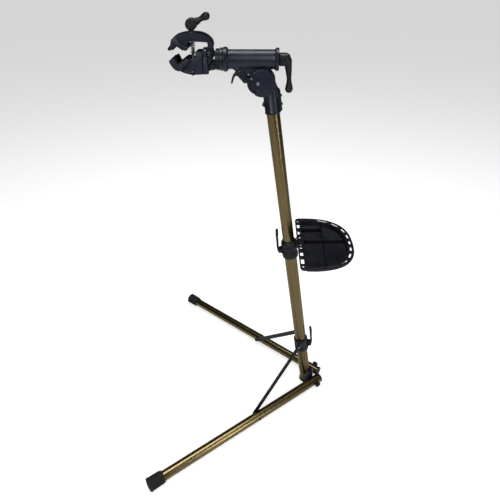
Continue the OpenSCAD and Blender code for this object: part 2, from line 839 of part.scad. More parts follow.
// forked cam with a long grip
module cam_lever() {
    grip = [44.5, 20.5];
    color(BLACK) translate([rod_x, 0, cam_z]) difference() {
        union() {
            rod_y(cam_r, -15, 15);
            hull() {
                translate([8, 0, 5]) rod_y(8, -11, 11, HULL_FN);
                translate([grip[0] * 0.62, 0, grip[1] * 0.62]) rod_y(6, -7, 7, HULL_FN);
            }
            hull() {
                translate([grip[0] * 0.62, 0, grip[1] * 0.62]) rod_y(6, -7, 7, HULL_FN);
                translate([grip[0], 0, grip[1]]) sphere(r = 12, $fn = HULL_FN);
            }
        }
        translate([-30, -6, -30]) cube([40, 12, 60]);
        rod_y(4, -30, 30);
    }
}

module cam_pin() {
    color(STEEL) translate([rod_x, 0, cam_z]) rod_y(4, -15.5, 15.5);
}

// ---------------------------------------------------------------- crank

module crank_handle() {
    arm_x = -143;
    color(BLACK) difference() {
        union() {
            translate([0, 0, barrel_z]) rod_x(19, -170.5, -141);
            hull() {
                translate([arm_x - 3, 0, barrel_z - 6]) rod_y(9, -13, 13, HULL_FN);
                translate([arm_x + 1, 0, barrel_z - 50]) sphere(r = 7.5, $fn = HULL_FN);
            }
            hull() {
                translate([arm_x + 1, 0, barrel_z - 50]) sphere(r = 7.5, $fn = HULL_FN);
                translate([arm_x + 2, 0, barrel_z - 84]) sphere(r = 13, $fn = HULL_FN);
            }
        }
        translate([0, 0, barrel_z]) rod_x(6, -180, -146);
        translate([-155, 0, barrel_z + 3]) rod_y(2.5, -30, -12);
    }
}

module crank_screw() {
    color(STEEL) translate([-155, 0, barrel_z + 3]) rod_y(2.5, -17.5, -12, 24);
}

// ---------------------------------------------------------------- tray

// point of the tray's curved edge, set in from the rim by d, at the angle t
function curve_point(d, t) = [
    tray_middle + (tray_len - 34 - d) * pow(abs(cos(t)), 2 / fullness),
    (tray_half_w - d) * sign(t) * pow(abs(sin(t)), 2 / fullness)
];

// outline of the tray, set in from the rim by d
module tray_outline(d) {
    steps = 48;
    r = max(14 - d / 3, 5);
    w = tray_half_w - d;
    corner = [for (i = [0 : 5]) let (t = 95 + 17 * i)
        [tray_front + d + r + r * cos(t), w - 1.6 * r + 1.6 * r * sin(t) - 0.6]];
    polygon(concat(
        [for (i = [0 : steps]) curve_point(d, -90 + 180 * i / steps)],
        corner,
        [for (i = [5 : -1 : 0]) [corner[i][0], -corner[i][1]]]));
}

tray_front = -82.5;
tray_floor_z = tray_z - tray_depth;
tray_middle = tray_front + 34;
fullness = 2.6;
rim_w = 24;
rib_y = 22;
rib_x = 15;
divider_y = 105;

module tray_cells() {
    difference() {
        tray_outline(rim_w);
        translate([-200, rib_y - 1.2]) square([400, 2.4]);
        translate([rib_x - 1.2, -200]) square([2.4, 400]);
        translate([-200, divider_y - 1.2]) square([200 + rib_x, 2.4]);
    }
}

// slots that follow the curved rim
module rim_slots() {
    for (slot = [[0, 1.7], [10, 3.5], [25, 5], [45, 6.5], [67, 7.5]], side = [-1, 1]) {
        a = curve_point(rim_w / 2, side * (slot[0] - slot[1]));
        b = curve_point(rim_w / 2, side * (slot[0] + slot[1]));
        translate((a + b) / 2) rotate([0, 0, atan2(b[1] - a[1], b[0] - a[0])])
            square([norm(b - a), 6.4], center = true);
    }
}

// tool holes along the straight edge
module edge_holes() {
    x = tray_front + rim_w / 2 - 1;
    for (hole = [[-131, 12, 28], [-84, 11, 21], [-43, 7.5, 8], [31, 7, 7], [118, 11, 27]])
        translate([x, hole[0]]) square([hole[1], hole[2]], center = true);
    translate([x, 66]) polygon([[-5, -14], [6, 0], [-5, 14]]);
    for (hole = [[-163, 4], [-22, 3.4], [157, 4]])
        translate([x, hole[0]]) circle(r = hole[1]);
}

module tool_tray() {
    color(BLACK) difference() {
        union() {
            translate([0, 0, tray_z - 4]) linear_extrude(4) tray_outline(0);
            translate([0, 0, tray_floor_z - 2.4]) linear_extrude(tray_depth) tray_outline(rim_w - 2.4);
            tray_tongues();
        }
        translate([0, 0, tray_floor_z]) linear_extrude(tray_depth + 2) tray_cells();
        translate([0, 0, tray_z - 6]) linear_extrude(10) rim_slots();
        translate([0, 0, tray_z - 6]) linear_extrude(10) edge_holes();
    }
}

// tongues under the straight edge that enter the bracket
module tray_tongues() {
    for (side = [-1, 1]) translate([tray_front - 4, side * 11 - 3.6, tray_z - 5.4])
        cube([15, 7.2, 5]);
}

// ---------------------------------------------------------------- drawing

lower_mast_tube();
base_bracket();
mast_foot_cap();
bracket_screws();
leg_hinge_bolts();
leg_hinge_knobs();
height_collar();
height_collar_bush();
height_lever_pin();
height_brake_shoe();
tray_bracket();
height_lever();
upper_mast_tube();
mast_glide_bush();
head_socket();
socket_screws();
head_pivot_bolt();
barrel_housing();
barrel_bushes();
release_guide_pins();
release_spring();
release_trigger();
lock_pin();
spindle();
index_ring();
lower_jaw();
lower_jaw_pads();
jaw_hinge_pin();
rod_barrel_nut();
upper_jaw();
upper_jaw_pads();
clamp_rod();
rod_spring();
rod_washer();
cam_lever();
cam_pin();
crank_handle();
crank_screw();
leg_collar();
leg_collar_bush();
leg_lever_pin();
leg_brake_shoe();
leg_lever();
near_leg_tube();
near_foot_cap();
near_end_cap();
near_brace_bolt();
far_leg_tube();
far_foot_cap();
far_end_cap();
far_brace_bolt();
near_brace();
near_brace_screw();
far_brace();
far_brace_screw();
tool_tray();
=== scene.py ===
"""Looks of a folding bicycle repair stand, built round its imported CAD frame.

The stand has two splayed legs, a leaning telescopic mast with two clamping
collars, a tool tray, and a turning clamp head that folds down along the mast.
Every shaped piece is made on the bench in millimetres and then set in the row
frame in metres, where it rides on the CAD body that it belongs to.
"""

import json
import logging
import math
from dataclasses import dataclass, field
from enum import Enum
from typing import Iterable, Optional, Sequence

import bpy
from mathutils import Matrix, Vector

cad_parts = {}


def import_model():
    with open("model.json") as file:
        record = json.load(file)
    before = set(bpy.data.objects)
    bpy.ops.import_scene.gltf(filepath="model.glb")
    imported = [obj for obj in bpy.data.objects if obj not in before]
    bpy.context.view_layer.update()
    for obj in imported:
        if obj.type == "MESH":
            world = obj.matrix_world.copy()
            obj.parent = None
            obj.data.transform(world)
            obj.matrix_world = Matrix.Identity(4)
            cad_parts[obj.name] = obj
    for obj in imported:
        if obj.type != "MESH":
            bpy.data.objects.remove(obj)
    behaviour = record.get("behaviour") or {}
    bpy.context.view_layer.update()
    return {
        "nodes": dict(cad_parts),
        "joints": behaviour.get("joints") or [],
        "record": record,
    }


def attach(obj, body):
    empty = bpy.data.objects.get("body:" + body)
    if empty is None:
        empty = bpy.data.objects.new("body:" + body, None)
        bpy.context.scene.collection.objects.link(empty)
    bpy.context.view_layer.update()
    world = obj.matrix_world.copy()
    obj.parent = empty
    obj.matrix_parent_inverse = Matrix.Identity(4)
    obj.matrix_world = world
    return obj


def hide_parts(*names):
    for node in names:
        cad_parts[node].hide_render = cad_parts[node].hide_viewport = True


MM = 0.001
Point = tuple[float, float]
log = logging.getLogger("repair_stand")


class Slot(Enum):
    """Material slots of the record."""

    TUBE = "tube_gold"
    CASTING = "dark_casting"
    PLASTIC = "black_plastic"
    PAINT = "black_paint"
    STEEL = "steel"
    RUBBER = "rubber"
    NYLON = "nylon"


class Side(Enum):
    """The two sides of the stand, seen from its tray."""

    NEAR = -1
    FAR = 1

    @property
    def word(self) -> str:
        """Returns the side's name as the CAD nodes spell it."""
        return self.name.lower()


# ------------------------------------------------------------------ placing


@dataclass
class StandFrame:
    """Places of the stand's axes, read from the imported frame.

    Attributes:
        joints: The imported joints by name.
    """

    joints: dict[str, dict]

    def spot(self, joint: str) -> Vector:
        """Returns a joint's position in millimetres."""
        return Vector(self.joints[joint]["pos_m"]) / MM

    def line(self, joint: str) -> Vector:
        """Returns the direction of a joint's axis."""
        return Vector(self.joints[joint]["axis"]).normalized()

    def row(self, shift: Vector = Vector((0, 0, 0))) -> Matrix:
        """Returns the placing of row millimetres, moved by shift."""
        return Matrix.Scale(MM, 4) @ Matrix.Translation(shift)

    def mast(self) -> Matrix:
        """Returns the placing along the mast: x away from the clamp, z up the mast."""
        up = -self.line("mast_slide")
        off = Vector((up.z, 0, -up.x))
        turn = Matrix((off, Vector((0, 1, 0)), up)).transposed().to_4x4()
        return Matrix.Scale(MM, 4) @ turn

    def leg(self, side: Side) -> Matrix:
        """Places pieces on a leg: x to the foot, y outwards along the hinge, z up.

        Args:
            side: The leg to place on.

        Returns:
            The matrix from leg millimetres to row metres, mirrored for the far leg.
        """
        out = -self.line("near_leg_fold")
        along = out.cross(Vector((0, 0, 1))).normalized()
        turn = Matrix((along, out, along.cross(out))).transposed().to_4x4()
        mirror = Matrix.Diagonal((1, -side.value, 1, 1))
        hinge = Matrix.Translation(self.spot("near_leg_fold"))
        return Matrix.Scale(MM, 4) @ mirror @ hinge @ turn

    def brace_reach(self) -> float:
        """Returns how far along the leg the brace's bolt sits."""
        return (self.spot("near_brace_fold") - self.spot("near_leg_fold")).length

    def in_mast(self, joint: str) -> Vector:
        """Returns a joint's position in mast millimetres."""
        return self.mast().inverted() @ (self.spot(joint) * MM)


def upright(y_high: float) -> Matrix:
    """Returns the turn that stands a flat outline up: its depth runs down from y_high."""
    return Matrix(((1, 0, 0, 0), (0, 0, -1, y_high), (0, 1, 0, 0), (0, 0, 0, 1)))


def along_y(x: float, y: float, z: float) -> Matrix:
    """Returns the placing of a turned piece whose axis runs along +Y from a point."""
    turn = Matrix(((0, 1, 0, 0), (0, 0, 1, 0), (1, 0, 0, 0), (0, 0, 0, 1)))
    return Matrix.Translation((x, y, z)) @ turn


def along_x(x: float, y: float, z: float) -> Matrix:
    """Returns the placing of a turned piece whose axis runs along +X from a point."""
    turn = Matrix(((0, 0, 1, 0), (1, 0, 0, 0), (0, 1, 0, 0), (0, 0, 0, 1)))
    return Matrix.Translation((x, y, z)) @ turn


def arc(x: float, y: float, radius: float, start: float, end: float, steps: int = 12) -> list[Point]:
    """Lists points along an arc.

    Args:
        x: Centre of the arc.
        y: Centre of the arc.
        radius: Radius of the arc.
        start: First angle, in degrees.
        end: Last angle, in degrees.
        steps: Number of stretches.

    Returns:
        The points from the first angle to the last.
    """
    angles = [math.radians(start + (end - start) * i / steps) for i in range(steps + 1)]
    return [(x + radius * math.cos(a), y + radius * math.sin(a)) for a in angles]


def flowing(points: Sequence[Point], steps: int = 5) -> list[Point]:
    """Rounds a closed outline with a curve through every point.

    Args:
        points: The points of the outline, in order.
        steps: Stretches between two points.

    Returns:
        The points of the smooth outline.
    """
    count = len(points)
    made: list[Point] = []
    for i in range(count):
        p0, p1, p2, p3 = (Vector(points[(i + k) % count]) for k in (-1, 0, 1, 2))
        for j in range(steps):
            t = j / steps
            spot = 0.5 * (2 * p1 + (p2 - p0) * t + (2 * p0 - 5 * p1 + 4 * p2 - p3) * t * t
                          + (3 * p1 - p0 - 3 * p2 + p3) * t ** 3)
            made.append((spot.x, spot.y))
    return made


# ------------------------------------------------------------------ bench


class Bench:
    """The bench where pieces are drawn, turned, cut and joined."""

    @staticmethod
    def clear() -> None:
        """Leaves edit mode and deselects everything."""
        active = bpy.context.view_layer.objects.active
        if active is not None and active.mode != "OBJECT":
            bpy.ops.object.mode_set(mode="OBJECT")
        bpy.ops.object.select_all(action="DESELECT")

    @staticmethod
    def take(piece: bpy.types.Object) -> None:
        """Selects one piece and makes it active."""
        Bench.clear()
        piece.select_set(True)
        bpy.context.view_layer.objects.active = piece

    @staticmethod
    def edit(piece: bpy.types.Object, everything: bool = True) -> None:
        """Opens a piece in edit mode with all or none of it selected."""
        Bench.take(piece)
        bpy.ops.object.mode_set(mode="EDIT")
        bpy.ops.mesh.select_all(action="SELECT" if everything else "DESELECT")

    @staticmethod
    def tidy(piece: bpy.types.Object) -> None:
        """Merges doubles and turns the faces outwards."""
        Bench.edit(piece)
        bpy.ops.mesh.remove_doubles(threshold=0.002)
        bpy.ops.mesh.normals_make_consistent(inside=False)
        bpy.ops.object.mode_set(mode="OBJECT")

    @staticmethod
    def sheet(corners: Sequence[Point], corner_r: float = 0.0) -> bpy.types.Object:
        """Draws a flat face from the corners of its outline.

        Args:
            corners: Corners in order.
            corner_r: How far the corners are rounded.

        Returns:
            The face, flat on the bench.
        """
        Bench.clear()
        bpy.ops.mesh.primitive_circle_add(vertices=len(corners), radius=1, fill_type="NGON")
        piece = bpy.context.object
        for vertex, (x, y) in zip(piece.data.vertices, corners):
            vertex.co = (x, y, 0)
        if corner_r > 0:
            Bench.edit(piece)
            bpy.ops.mesh.bevel(offset=corner_r, segments=4, affect="VERTICES")
            bpy.ops.object.mode_set(mode="OBJECT")
        return piece

    @staticmethod
    def prism(corners: Sequence[Point], depth: float, corner_r: float = 0.0) -> bpy.types.Object:
        """Raises an outline to a closed prism.

        Args:
            corners: Corners in order.
            depth: Height of the prism.
            corner_r: How far the upright edges are rounded.

        Returns:
            The prism, standing on the bench.
        """
        piece = Bench.sheet(corners, corner_r)
        Bench.edit(piece)
        bpy.ops.mesh.extrude_region_move(TRANSFORM_OT_translate={"value": (0, 0, depth)})
        bpy.ops.mesh.select_all(action="SELECT")
        bpy.ops.mesh.normals_make_consistent(inside=False)
        bpy.ops.object.mode_set(mode="OBJECT")
        return piece

    @staticmethod
    def slab(corners: Sequence[Point], low: float, high: float, corner_r: float = 0.0) -> bpy.types.Object:
        """Makes a prism whose outline stands in X and Z, from y low to y high."""
        piece = Bench.prism(corners, high - low, corner_r)
        piece.data.transform(upright(high))
        return piece

    @staticmethod
    def turned(profile: Sequence[Point], steps: int = 64, ring: bool = True) -> bpy.types.Object:
        """Turns a profile of (radius, height) about the upright axis.

        Args:
            profile: Points of the profile.
            steps: Faces round the piece.
            ring: True for a closed profile, false for one from axis to axis.

        Returns:
            The turned piece.
        """
        Bench.clear()
        count = len(profile)
        bpy.ops.mesh.primitive_circle_add(vertices=count, radius=1, fill_type="NOTHING")
        piece = bpy.context.object
        for vertex, (radius, height) in zip(piece.data.vertices, profile):
            vertex.co = (radius, 0, height)
        if not ring:
            Bench.edit(piece, everything=False)
            bpy.ops.mesh.select_mode(type="EDGE")
            bpy.ops.object.mode_set(mode="OBJECT")
            for edge in piece.data.edges:
                edge.select = set(edge.vertices) == {0, count - 1}
            bpy.ops.object.mode_set(mode="EDIT")
            bpy.ops.mesh.delete(type="EDGE")
            bpy.ops.mesh.select_mode(type="VERT")
        Bench.edit(piece)
        bpy.ops.mesh.spin(steps=steps, angle=math.tau, center=(0, 0, 0), axis=(0, 0, 1))
        bpy.ops.object.mode_set(mode="OBJECT")
        Bench.tidy(piece)
        return piece

    @staticmethod
    def rod(radius: float, length: float, edge: float = 0.5, steps: int = 40) -> bpy.types.Object:
        """Turns a solid rod with chamfered ends, standing on the bench."""
        profile = [(0, 0), (radius - edge, 0), (radius, edge), (radius, length - edge),
                   (radius - edge, length), (0, length)]
        return Bench.turned(profile, steps, ring=False)

    @staticmethod
    def tube(outer: float, inner: float, length: float, edge: float = 0.4) -> bpy.types.Object:
        """Turns a tube with broken edges, standing on the bench."""
        profile = [(inner, 0), (outer - edge, 0), (outer, edge), (outer, length - edge),
                   (outer - edge, length), (inner, length)]
        return Bench.turned(profile, 96)

    @staticmethod
    def modify(piece: bpy.types.Object, kind: str, **settings: object) -> None:
        """Adds a modifier, sets it and applies it.

        Args:
            piece: The piece to change.
            kind: Blender's name for the modifier.
            **settings: Values for its properties.
        """
        Bench.take(piece)
        bpy.ops.object.modifier_add(type=kind)
        modifier = piece.modifiers[-1]
        for name, value in settings.items():
            setattr(modifier, name, value)
        bpy.ops.object.modifier_apply(modifier=modifier.name)

    @staticmethod
    def soften(piece: bpy.types.Object, width: float, segments: int = 2, angle: float = 35) -> None:
        """Rounds every edge sharper than an angle."""
        Bench.modify(piece, "BEVEL", width=width, segments=segments, limit_method="ANGLE",
                     angle_limit=math.radians(angle), use_clamp_overlap=True)

    @staticmethod
    def cut(piece: bpy.types.Object, cutters: Iterable[bpy.types.Object]) -> None:
        """Takes cutters out of a piece and throws the cutters away."""
        for cutter in cutters:
            Bench.modify(piece, "BOOLEAN", operation="DIFFERENCE", object=cutter, solver="EXACT")
            bpy.data.objects.remove(cutter)

    @staticmethod
    def join(piece: bpy.types.Object, others: Iterable[bpy.types.Object]) -> bpy.types.Object:
        """Joins others to a piece as one mesh and returns it."""
        Bench.take(piece)
        for other in others:
            other.select_set(True)
        bpy.ops.object.join()
        return piece

    @staticmethod
    def blend(piece: bpy.types.Object, grain: float, rounds: int) -> None:
        """Melts joined solids into one moulded form.

        Args:
            piece: The joined solids.
            grain: Size of the new mesh's faces.
            rounds: How often the surface is smoothed.
        """
        Bench.modify(piece, "REMESH", mode="VOXEL", voxel_size=grain, use_smooth_shade=True)
        Bench.modify(piece, "SMOOTH", factor=0.5, iterations=rounds)

    @staticmethod
    def move(piece: bpy.types.Object, matrix: Matrix) -> bpy.types.Object:
        """Moves a piece's mesh, keeps its faces outwards and returns the piece."""
        piece.data.transform(matrix)
        if matrix.determinant() < 0:
            piece.data.flip_normals()
        return piece

    @staticmethod
    def copy(piece: bpy.types.Object, matrix: Matrix) -> bpy.types.Object:
        """Returns a moved copy with its own mesh."""
        twin = piece.copy()
        twin.data = piece.data.copy()
        bpy.context.scene.collection.objects.link(twin)
        return Bench.move(twin, matrix)

    @staticmethod
    def coil(radius: float, wire_r: float, height: float, turns: float) -> bpy.types.Object:
        """Winds a spring with flat end turns, standing on the bench.

        Args:
            radius: Middle of the wire to the axis.
            wire_r: Radius of the wire.
            height: Overall height.
            turns: Number of turns.

        Returns:
            The spring as a mesh.
        """
        Bench.clear()
        shape = bpy.data.curves.new("coil", "CURVE")
        shape.dimensions = "3D"
        shape.bevel_depth = wire_r
        shape.bevel_resolution = 2
        shape.use_fill_caps = True
        spline = shape.splines.new("POLY")
        count = int(turns * 24)
        spline.points.add(count)
        climb = height - 2 * wire_r
        for i, point in enumerate(spline.points):
            part = i / count
            rise = min(max((part * turns - 0.8) / (turns - 1.6), 0.0), 1.0)
            flat = 0.9 * wire_r * (min(part * turns, 0.8) - 0.8 + max(part * turns - turns + 0.8, 0))
            turn = math.tau * turns * part
            lift = wire_r + climb * rise
            lift += flat if rise > 0 else 0.0
            point.co = (radius * math.cos(turn), radius * math.sin(turn), max(lift, wire_r), 1)
        piece = bpy.data.objects.new("coil", shape)
        bpy.context.scene.collection.objects.link(piece)
        Bench.take(piece)
        bpy.ops.object.convert(target="MESH")
        return bpy.context.object


# ------------------------------------------------------------------ finishes


class Effects:
    """Shader node groups that several finishes share."""

    groups: dict[str, bpy.types.NodeTree] = {}

    @classmethod
    def group(cls, name: str, inputs: dict[str, float], outputs: Sequence[str]) -> tuple:
        """Starts a node group.

        Args:
            name: Name of the group.
            inputs: Number inputs with their defaults; a Vector input comes first.
            outputs: Names of the number outputs.

        Returns:
            The group, its input node and its output node.
        """
        tree = bpy.data.node_groups.new(name, "ShaderNodeTree")
        tree.interface.new_socket("Vector", in_out="INPUT", socket_type="NodeSocketVector")
        for label, value in inputs.items():
            socket = tree.interface.new_socket(label, in_out="INPUT", socket_type="NodeSocketFloat")
            socket.default_value = value
        for label in outputs:
            tree.interface.new_socket(label, in_out="OUTPUT", socket_type="NodeSocketFloat")
        cls.groups[name] = tree
        return tree, tree.nodes.new("NodeGroupInput"), tree.nodes.new("NodeGroupOutput")

    @staticmethod
    def math(tree: bpy.types.NodeTree, kind: str, first: object, second: object) -> bpy.types.NodeSocket:
        """Adds a maths node fed by sockets or numbers and returns its result."""
        node = tree.nodes.new("ShaderNodeMath")
        node.operation = kind
        node.use_clamp = False
        for slot, value in enumerate((first, second)):
            if isinstance(value, (int, float)):
                node.inputs[slot].default_value = value
            else:
                tree.links.new(value, node.inputs[slot])
        return node.outputs[0]

    @staticmethod
    def noise(tree: bpy.types.NodeTree, vector: object, scale: object, detail: float,
              rough: float = 0.5) -> bpy.types.NodeSocket:
        """Adds a noise texture and returns its factor."""
        node = tree.nodes.new("ShaderNodeTexNoise")
        node.inputs["Detail"].default_value = detail
        node.inputs["Roughness"].default_value = rough
        tree.links.new(vector, node.inputs["Vector"])
        if isinstance(scale, (int, float)):
            node.inputs["Scale"].default_value = scale
        else:
            tree.links.new(scale, node.inputs["Scale"])
        return node.outputs["Fac"]

    @staticmethod
    def range(tree: bpy.types.NodeTree, value: object, low: float, high: float) -> bpy.types.NodeSocket:
        """Stretches a value so that low becomes 0 and high becomes 1, clamped."""
        node = tree.nodes.new("ShaderNodeMapRange")
        node.inputs["From Min"].default_value = low
        node.inputs["From Max"].default_value = high
        tree.links.new(value, node.inputs["Value"])
        return node.outputs["Result"]

    @classmethod
    def mould_grain(cls) -> bpy.types.NodeTree:
        """Returns the grain of moulded or powder-coated surfaces."""
        if "mould_grain" in cls.groups:
            return cls.groups["mould_grain"]
        tree, start, end = cls.group("mould_grain", {"Scale": 900.0}, ("Height", "Shade"))
        vector = start.outputs["Vector"]
        fine = cls.noise(tree, vector, start.outputs["Scale"], 3.0)
        cells = tree.nodes.new("ShaderNodeTexVoronoi")
        tree.links.new(vector, cells.inputs["Vector"])
        tree.links.new(start.outputs["Scale"], cells.inputs["Scale"])
        height = cls.math(tree, "ADD", cls.math(tree, "MULTIPLY", fine, 0.6),
                          cls.math(tree, "MULTIPLY", cells.outputs["Distance"], 0.4))
        cloud = cls.noise(tree, vector, 14.0, 4.0, 0.6)
        tree.links.new(height, end.inputs["Height"])
        tree.links.new(cls.range(tree, cloud, 0.35, 0.65), end.inputs["Shade"])
        return tree

    @classmethod
    def drawn_lines(cls) -> bpy.types.NodeTree:
        """Returns fine lines along Z, as a drawn and brushed tube has them."""
        if "drawn_lines" in cls.groups:
            return cls.groups["drawn_lines"]
        tree, start, end = cls.group("drawn_lines", {"Scale": 1400.0, "Length": 0.012}, ("Height", "Shade"))
        stretch = tree.nodes.new("ShaderNodeCombineXYZ")
        stretch.inputs["X"].default_value = 1.0
        stretch.inputs["Y"].default_value = 1.0
        tree.links.new(start.outputs["Length"], stretch.inputs["Z"])
        long = tree.nodes.new("ShaderNodeVectorMath")
        long.operation = "MULTIPLY"
        tree.links.new(start.outputs["Vector"], long.inputs[0])
        tree.links.new(stretch.outputs["Vector"], long.inputs[1])
        lines = cls.noise(tree, long.outputs["Vector"], start.outputs["Scale"], 4.0, 0.65)
        broad = cls.noise(tree, start.outputs["Vector"], 5.0, 2.0)
        tree.links.new(lines, end.inputs["Height"])
        shade = cls.math(tree, "ADD", cls.math(tree, "MULTIPLY", lines, 0.5), cls.math(tree, "MULTIPLY", broad, 0.5))
        tree.links.new(cls.range(tree, shade, 0.3, 0.7), end.inputs["Shade"])
        return tree

    @classmethod
    def handling(cls) -> bpy.types.NodeTree:
        """Returns sparse scuffs and a film of dust from use."""
        if "handling" in cls.groups:
            return cls.groups["handling"]
        tree, start, end = cls.group("handling", {"Scale": 60.0, "Amount": 0.5}, ("Scuff", "Dust"))
        vector = start.outputs["Vector"]
        patches = cls.range(tree, cls.noise(tree, vector, start.outputs["Scale"], 5.0, 0.7), 0.6, 0.72)
        specks = cls.range(tree, cls.noise(tree, vector, 1500.0, 2.0, 0.8), 0.55, 0.75)
        scuff = cls.math(tree, "MULTIPLY", cls.math(tree, "MULTIPLY", patches, specks), start.outputs["Amount"])
        film = cls.range(tree, cls.noise(tree, vector, 9.0, 6.0, 0.6), 0.45, 0.75)
        tree.links.new(scuff, end.inputs["Scuff"])
        tree.links.new(cls.math(tree, "MULTIPLY", film, start.outputs["Amount"]), end.inputs["Dust"])
        return tree


@dataclass(frozen=True)
class Finish:
    """A surface finish: two shades of one colour, its gloss, grain and wear.

    Attributes:
        name: Name of the material.
        slot: The record's slot.
        dark: The darker shade, linear RGB.
        light: The lighter shade, linear RGB.
        scuffed: Colour of scuffs.
        metallic: 1 for bare metal.
        rough: Lowest and highest roughness.
        effect: Group that gives the grain.
        grain: Scale of the grain.
        bump: Depth of the grain, in metres.
        wear: Amount of scuffs and dust.
        coat: Clear coat weight.
        shine: Strength of the reflection of a surface that isn't metal.
        turn: Turn of the pattern in radians, so that drawn lines follow the piece.
    """

    name: str
    slot: Slot
    dark: tuple[float, float, float]
    light: tuple[float, float, float]
    scuffed: tuple[float, float, float] = (0.2, 0.2, 0.2)
    metallic: float = 0.0
    rough: tuple[float, float] = (0.4, 0.5)
    effect: str = "mould_grain"
    grain: float = 900.0
    bump: float = 0.00004
    wear: float = 0.4
    coat: float = 0.0
    shine: float = 0.35
    turn: tuple[float, float, float] = (0.0, 0.0, 0.0)

    def material(self) -> bpy.types.Material:
        """Builds the material once and returns it."""
        known = bpy.data.materials.get(self.name)
        if known is not None:
            return known
        made = bpy.data.materials.new(self.name)
        made.use_nodes = True
        tree = made.node_tree
        shader = tree.nodes["Principled BSDF"]
        shader.inputs["Metallic"].default_value = self.metallic
        shader.inputs["Coat Weight"].default_value = self.coat
        shader.inputs["Coat Roughness"].default_value = 0.25
        shader.inputs["Specular IOR Level"].default_value = self.shine
        where = tree.nodes.new("ShaderNodeTexCoord")
        mapping = tree.nodes.new("ShaderNodeMapping")
        mapping.inputs["Rotation"].default_value = self.turn
        tree.links.new(where.outputs["Object"], mapping.inputs["Vector"])
        vector = mapping.outputs["Vector"]
        grain = self.place(tree, getattr(Effects, self.effect)(), vector, {"Scale": self.grain})
        marks = self.place(tree, Effects.handling(), vector, {"Amount": self.wear})
        colour = self.mix(tree, grain.outputs["Shade"], self.dark, self.light)
        colour = self.mix(tree, marks.outputs["Scuff"], colour, self.scuffed)
        dusty = Effects.math(tree, "MULTIPLY", marks.outputs["Dust"], 0.015)
        colour = self.mix(tree, dusty, colour, (0.45, 0.43, 0.4))
        tree.links.new(colour, shader.inputs["Base Color"])
        low, high = self.rough
        rough = Effects.math(tree, "MULTIPLY", grain.outputs["Shade"], high - low)
        rough = Effects.math(tree, "ADD", rough, low)
        haze = Effects.math(tree, "MULTIPLY", marks.outputs["Dust"], 0.12)
        tree.links.new(Effects.math(tree, "ADD", rough, haze), shader.inputs["Roughness"])
        bump = tree.nodes.new("ShaderNodeBump")
        bump.inputs["Strength"].default_value = 1.0
        bump.inputs["Distance"].default_value = self.bump
        tree.links.new(grain.outputs["Height"], bump.inputs["Height"])
        tree.links.new(bump.outputs["Normal"], shader.inputs["Normal"])
        return made

    @staticmethod
    def place(tree: bpy.types.NodeTree, group: bpy.types.NodeTree, vector: bpy.types.NodeSocket,
              values: dict[str, float]) -> bpy.types.Node:
        """Places an effect group with its own values and returns its node."""
        node = tree.nodes.new("ShaderNodeGroup")
        node.node_tree = group
        tree.links.new(vector, node.inputs["Vector"])
        for label, value in values.items():
            node.inputs[label].default_value = value
        return node

    @staticmethod
    def mix(tree: bpy.types.NodeTree, factor: bpy.types.NodeSocket, first: object,
            second: object) -> bpy.types.NodeSocket:
        """Mixes two colours, each a socket or an RGB triple, and returns the result."""
        node = tree.nodes.new("ShaderNodeMix")
        node.data_type = "RGBA"
        tree.links.new(factor, node.inputs["Factor"])
        for socket, value in ((node.inputs[6], first), (node.inputs[7], second)):
            if isinstance(value, tuple):
                socket.default_value = (*value, 1.0)
            else:
                tree.links.new(value, socket)
        return node.outputs[2]


@dataclass(frozen=True)
class Palette:
    """Every finish of the stand."""

    mast: Finish
    near_leg: Finish
    far_leg: Finish
    black_steel: Finish = Finish("black oxide steel", Slot.STEEL, (0.035, 0.036, 0.04), (0.06, 0.06, 0.066),
                                 scuffed=(0.25, 0.25, 0.26), metallic=1.0, rough=(0.3, 0.42), grain=900.0,
                                 bump=0.00001, wear=0.5)
    casting: Finish = Finish("blue-black powder coat", Slot.CASTING, (0.006, 0.009, 0.021), (0.009, 0.013, 0.029),
                             rough=(0.30, 0.40), grain=1100.0, bump=0.00004, wear=0.3, shine=0.45)
    plastic: Finish = Finish("moulded black plastic", Slot.PLASTIC, (0.005, 0.006, 0.010), (0.008, 0.009, 0.015),
                             rough=(0.36, 0.48), grain=1500.0, bump=0.00004, wear=0.3, shine=0.35)
    paint: Finish = Finish("black paint", Slot.PAINT, (0.007, 0.008, 0.011), (0.012, 0.013, 0.018),
                           rough=(0.34, 0.44), grain=700.0, bump=0.00004, wear=0.6)
    steel: Finish = Finish("zinc-plated steel", Slot.STEEL, (0.48, 0.49, 0.52), (0.62, 0.63, 0.65),
                           scuffed=(0.3, 0.3, 0.32), metallic=1.0, rough=(0.22, 0.34), effect="drawn_lines",
                           bump=0.00001, wear=0.4)
    rubber: Finish = Finish("black rubber", Slot.RUBBER, (0.010, 0.010, 0.011), (0.018, 0.018, 0.019),
                            scuffed=(0.08, 0.08, 0.08), rough=(0.6, 0.78), grain=800.0, bump=0.00008, wear=0.8)
    nylon: Finish = Finish("natural nylon", Slot.NYLON, (0.42, 0.42, 0.39), (0.52, 0.51, 0.48),
                           rough=(0.4, 0.5), grain=600.0, bump=0.00003, wear=0.3)

    def for_slot(self, slot: str) -> Finish:
        """Returns the finish that a carried-over CAD node takes by its slot."""
        by_slot = {f.slot.value: f for f in (self.mast, self.casting, self.plastic, self.paint, self.steel,
                                             self.rubber, self.nylon)}
        return by_slot[slot]


def drawn_tube(name: str, turn: tuple[float, float, float]) -> Finish:
    """Returns the champagne anodised finish with its lines turned along a tube."""
    return Finish(name, Slot.TUBE, (0.190, 0.145, 0.066), (0.215, 0.168, 0.078),
                  scuffed=(0.34, 0.29, 0.19), metallic=1.0, rough=(0.22, 0.28), effect="drawn_lines",
                  grain=1600.0, bump=0.000004, wear=0.3, turn=turn)


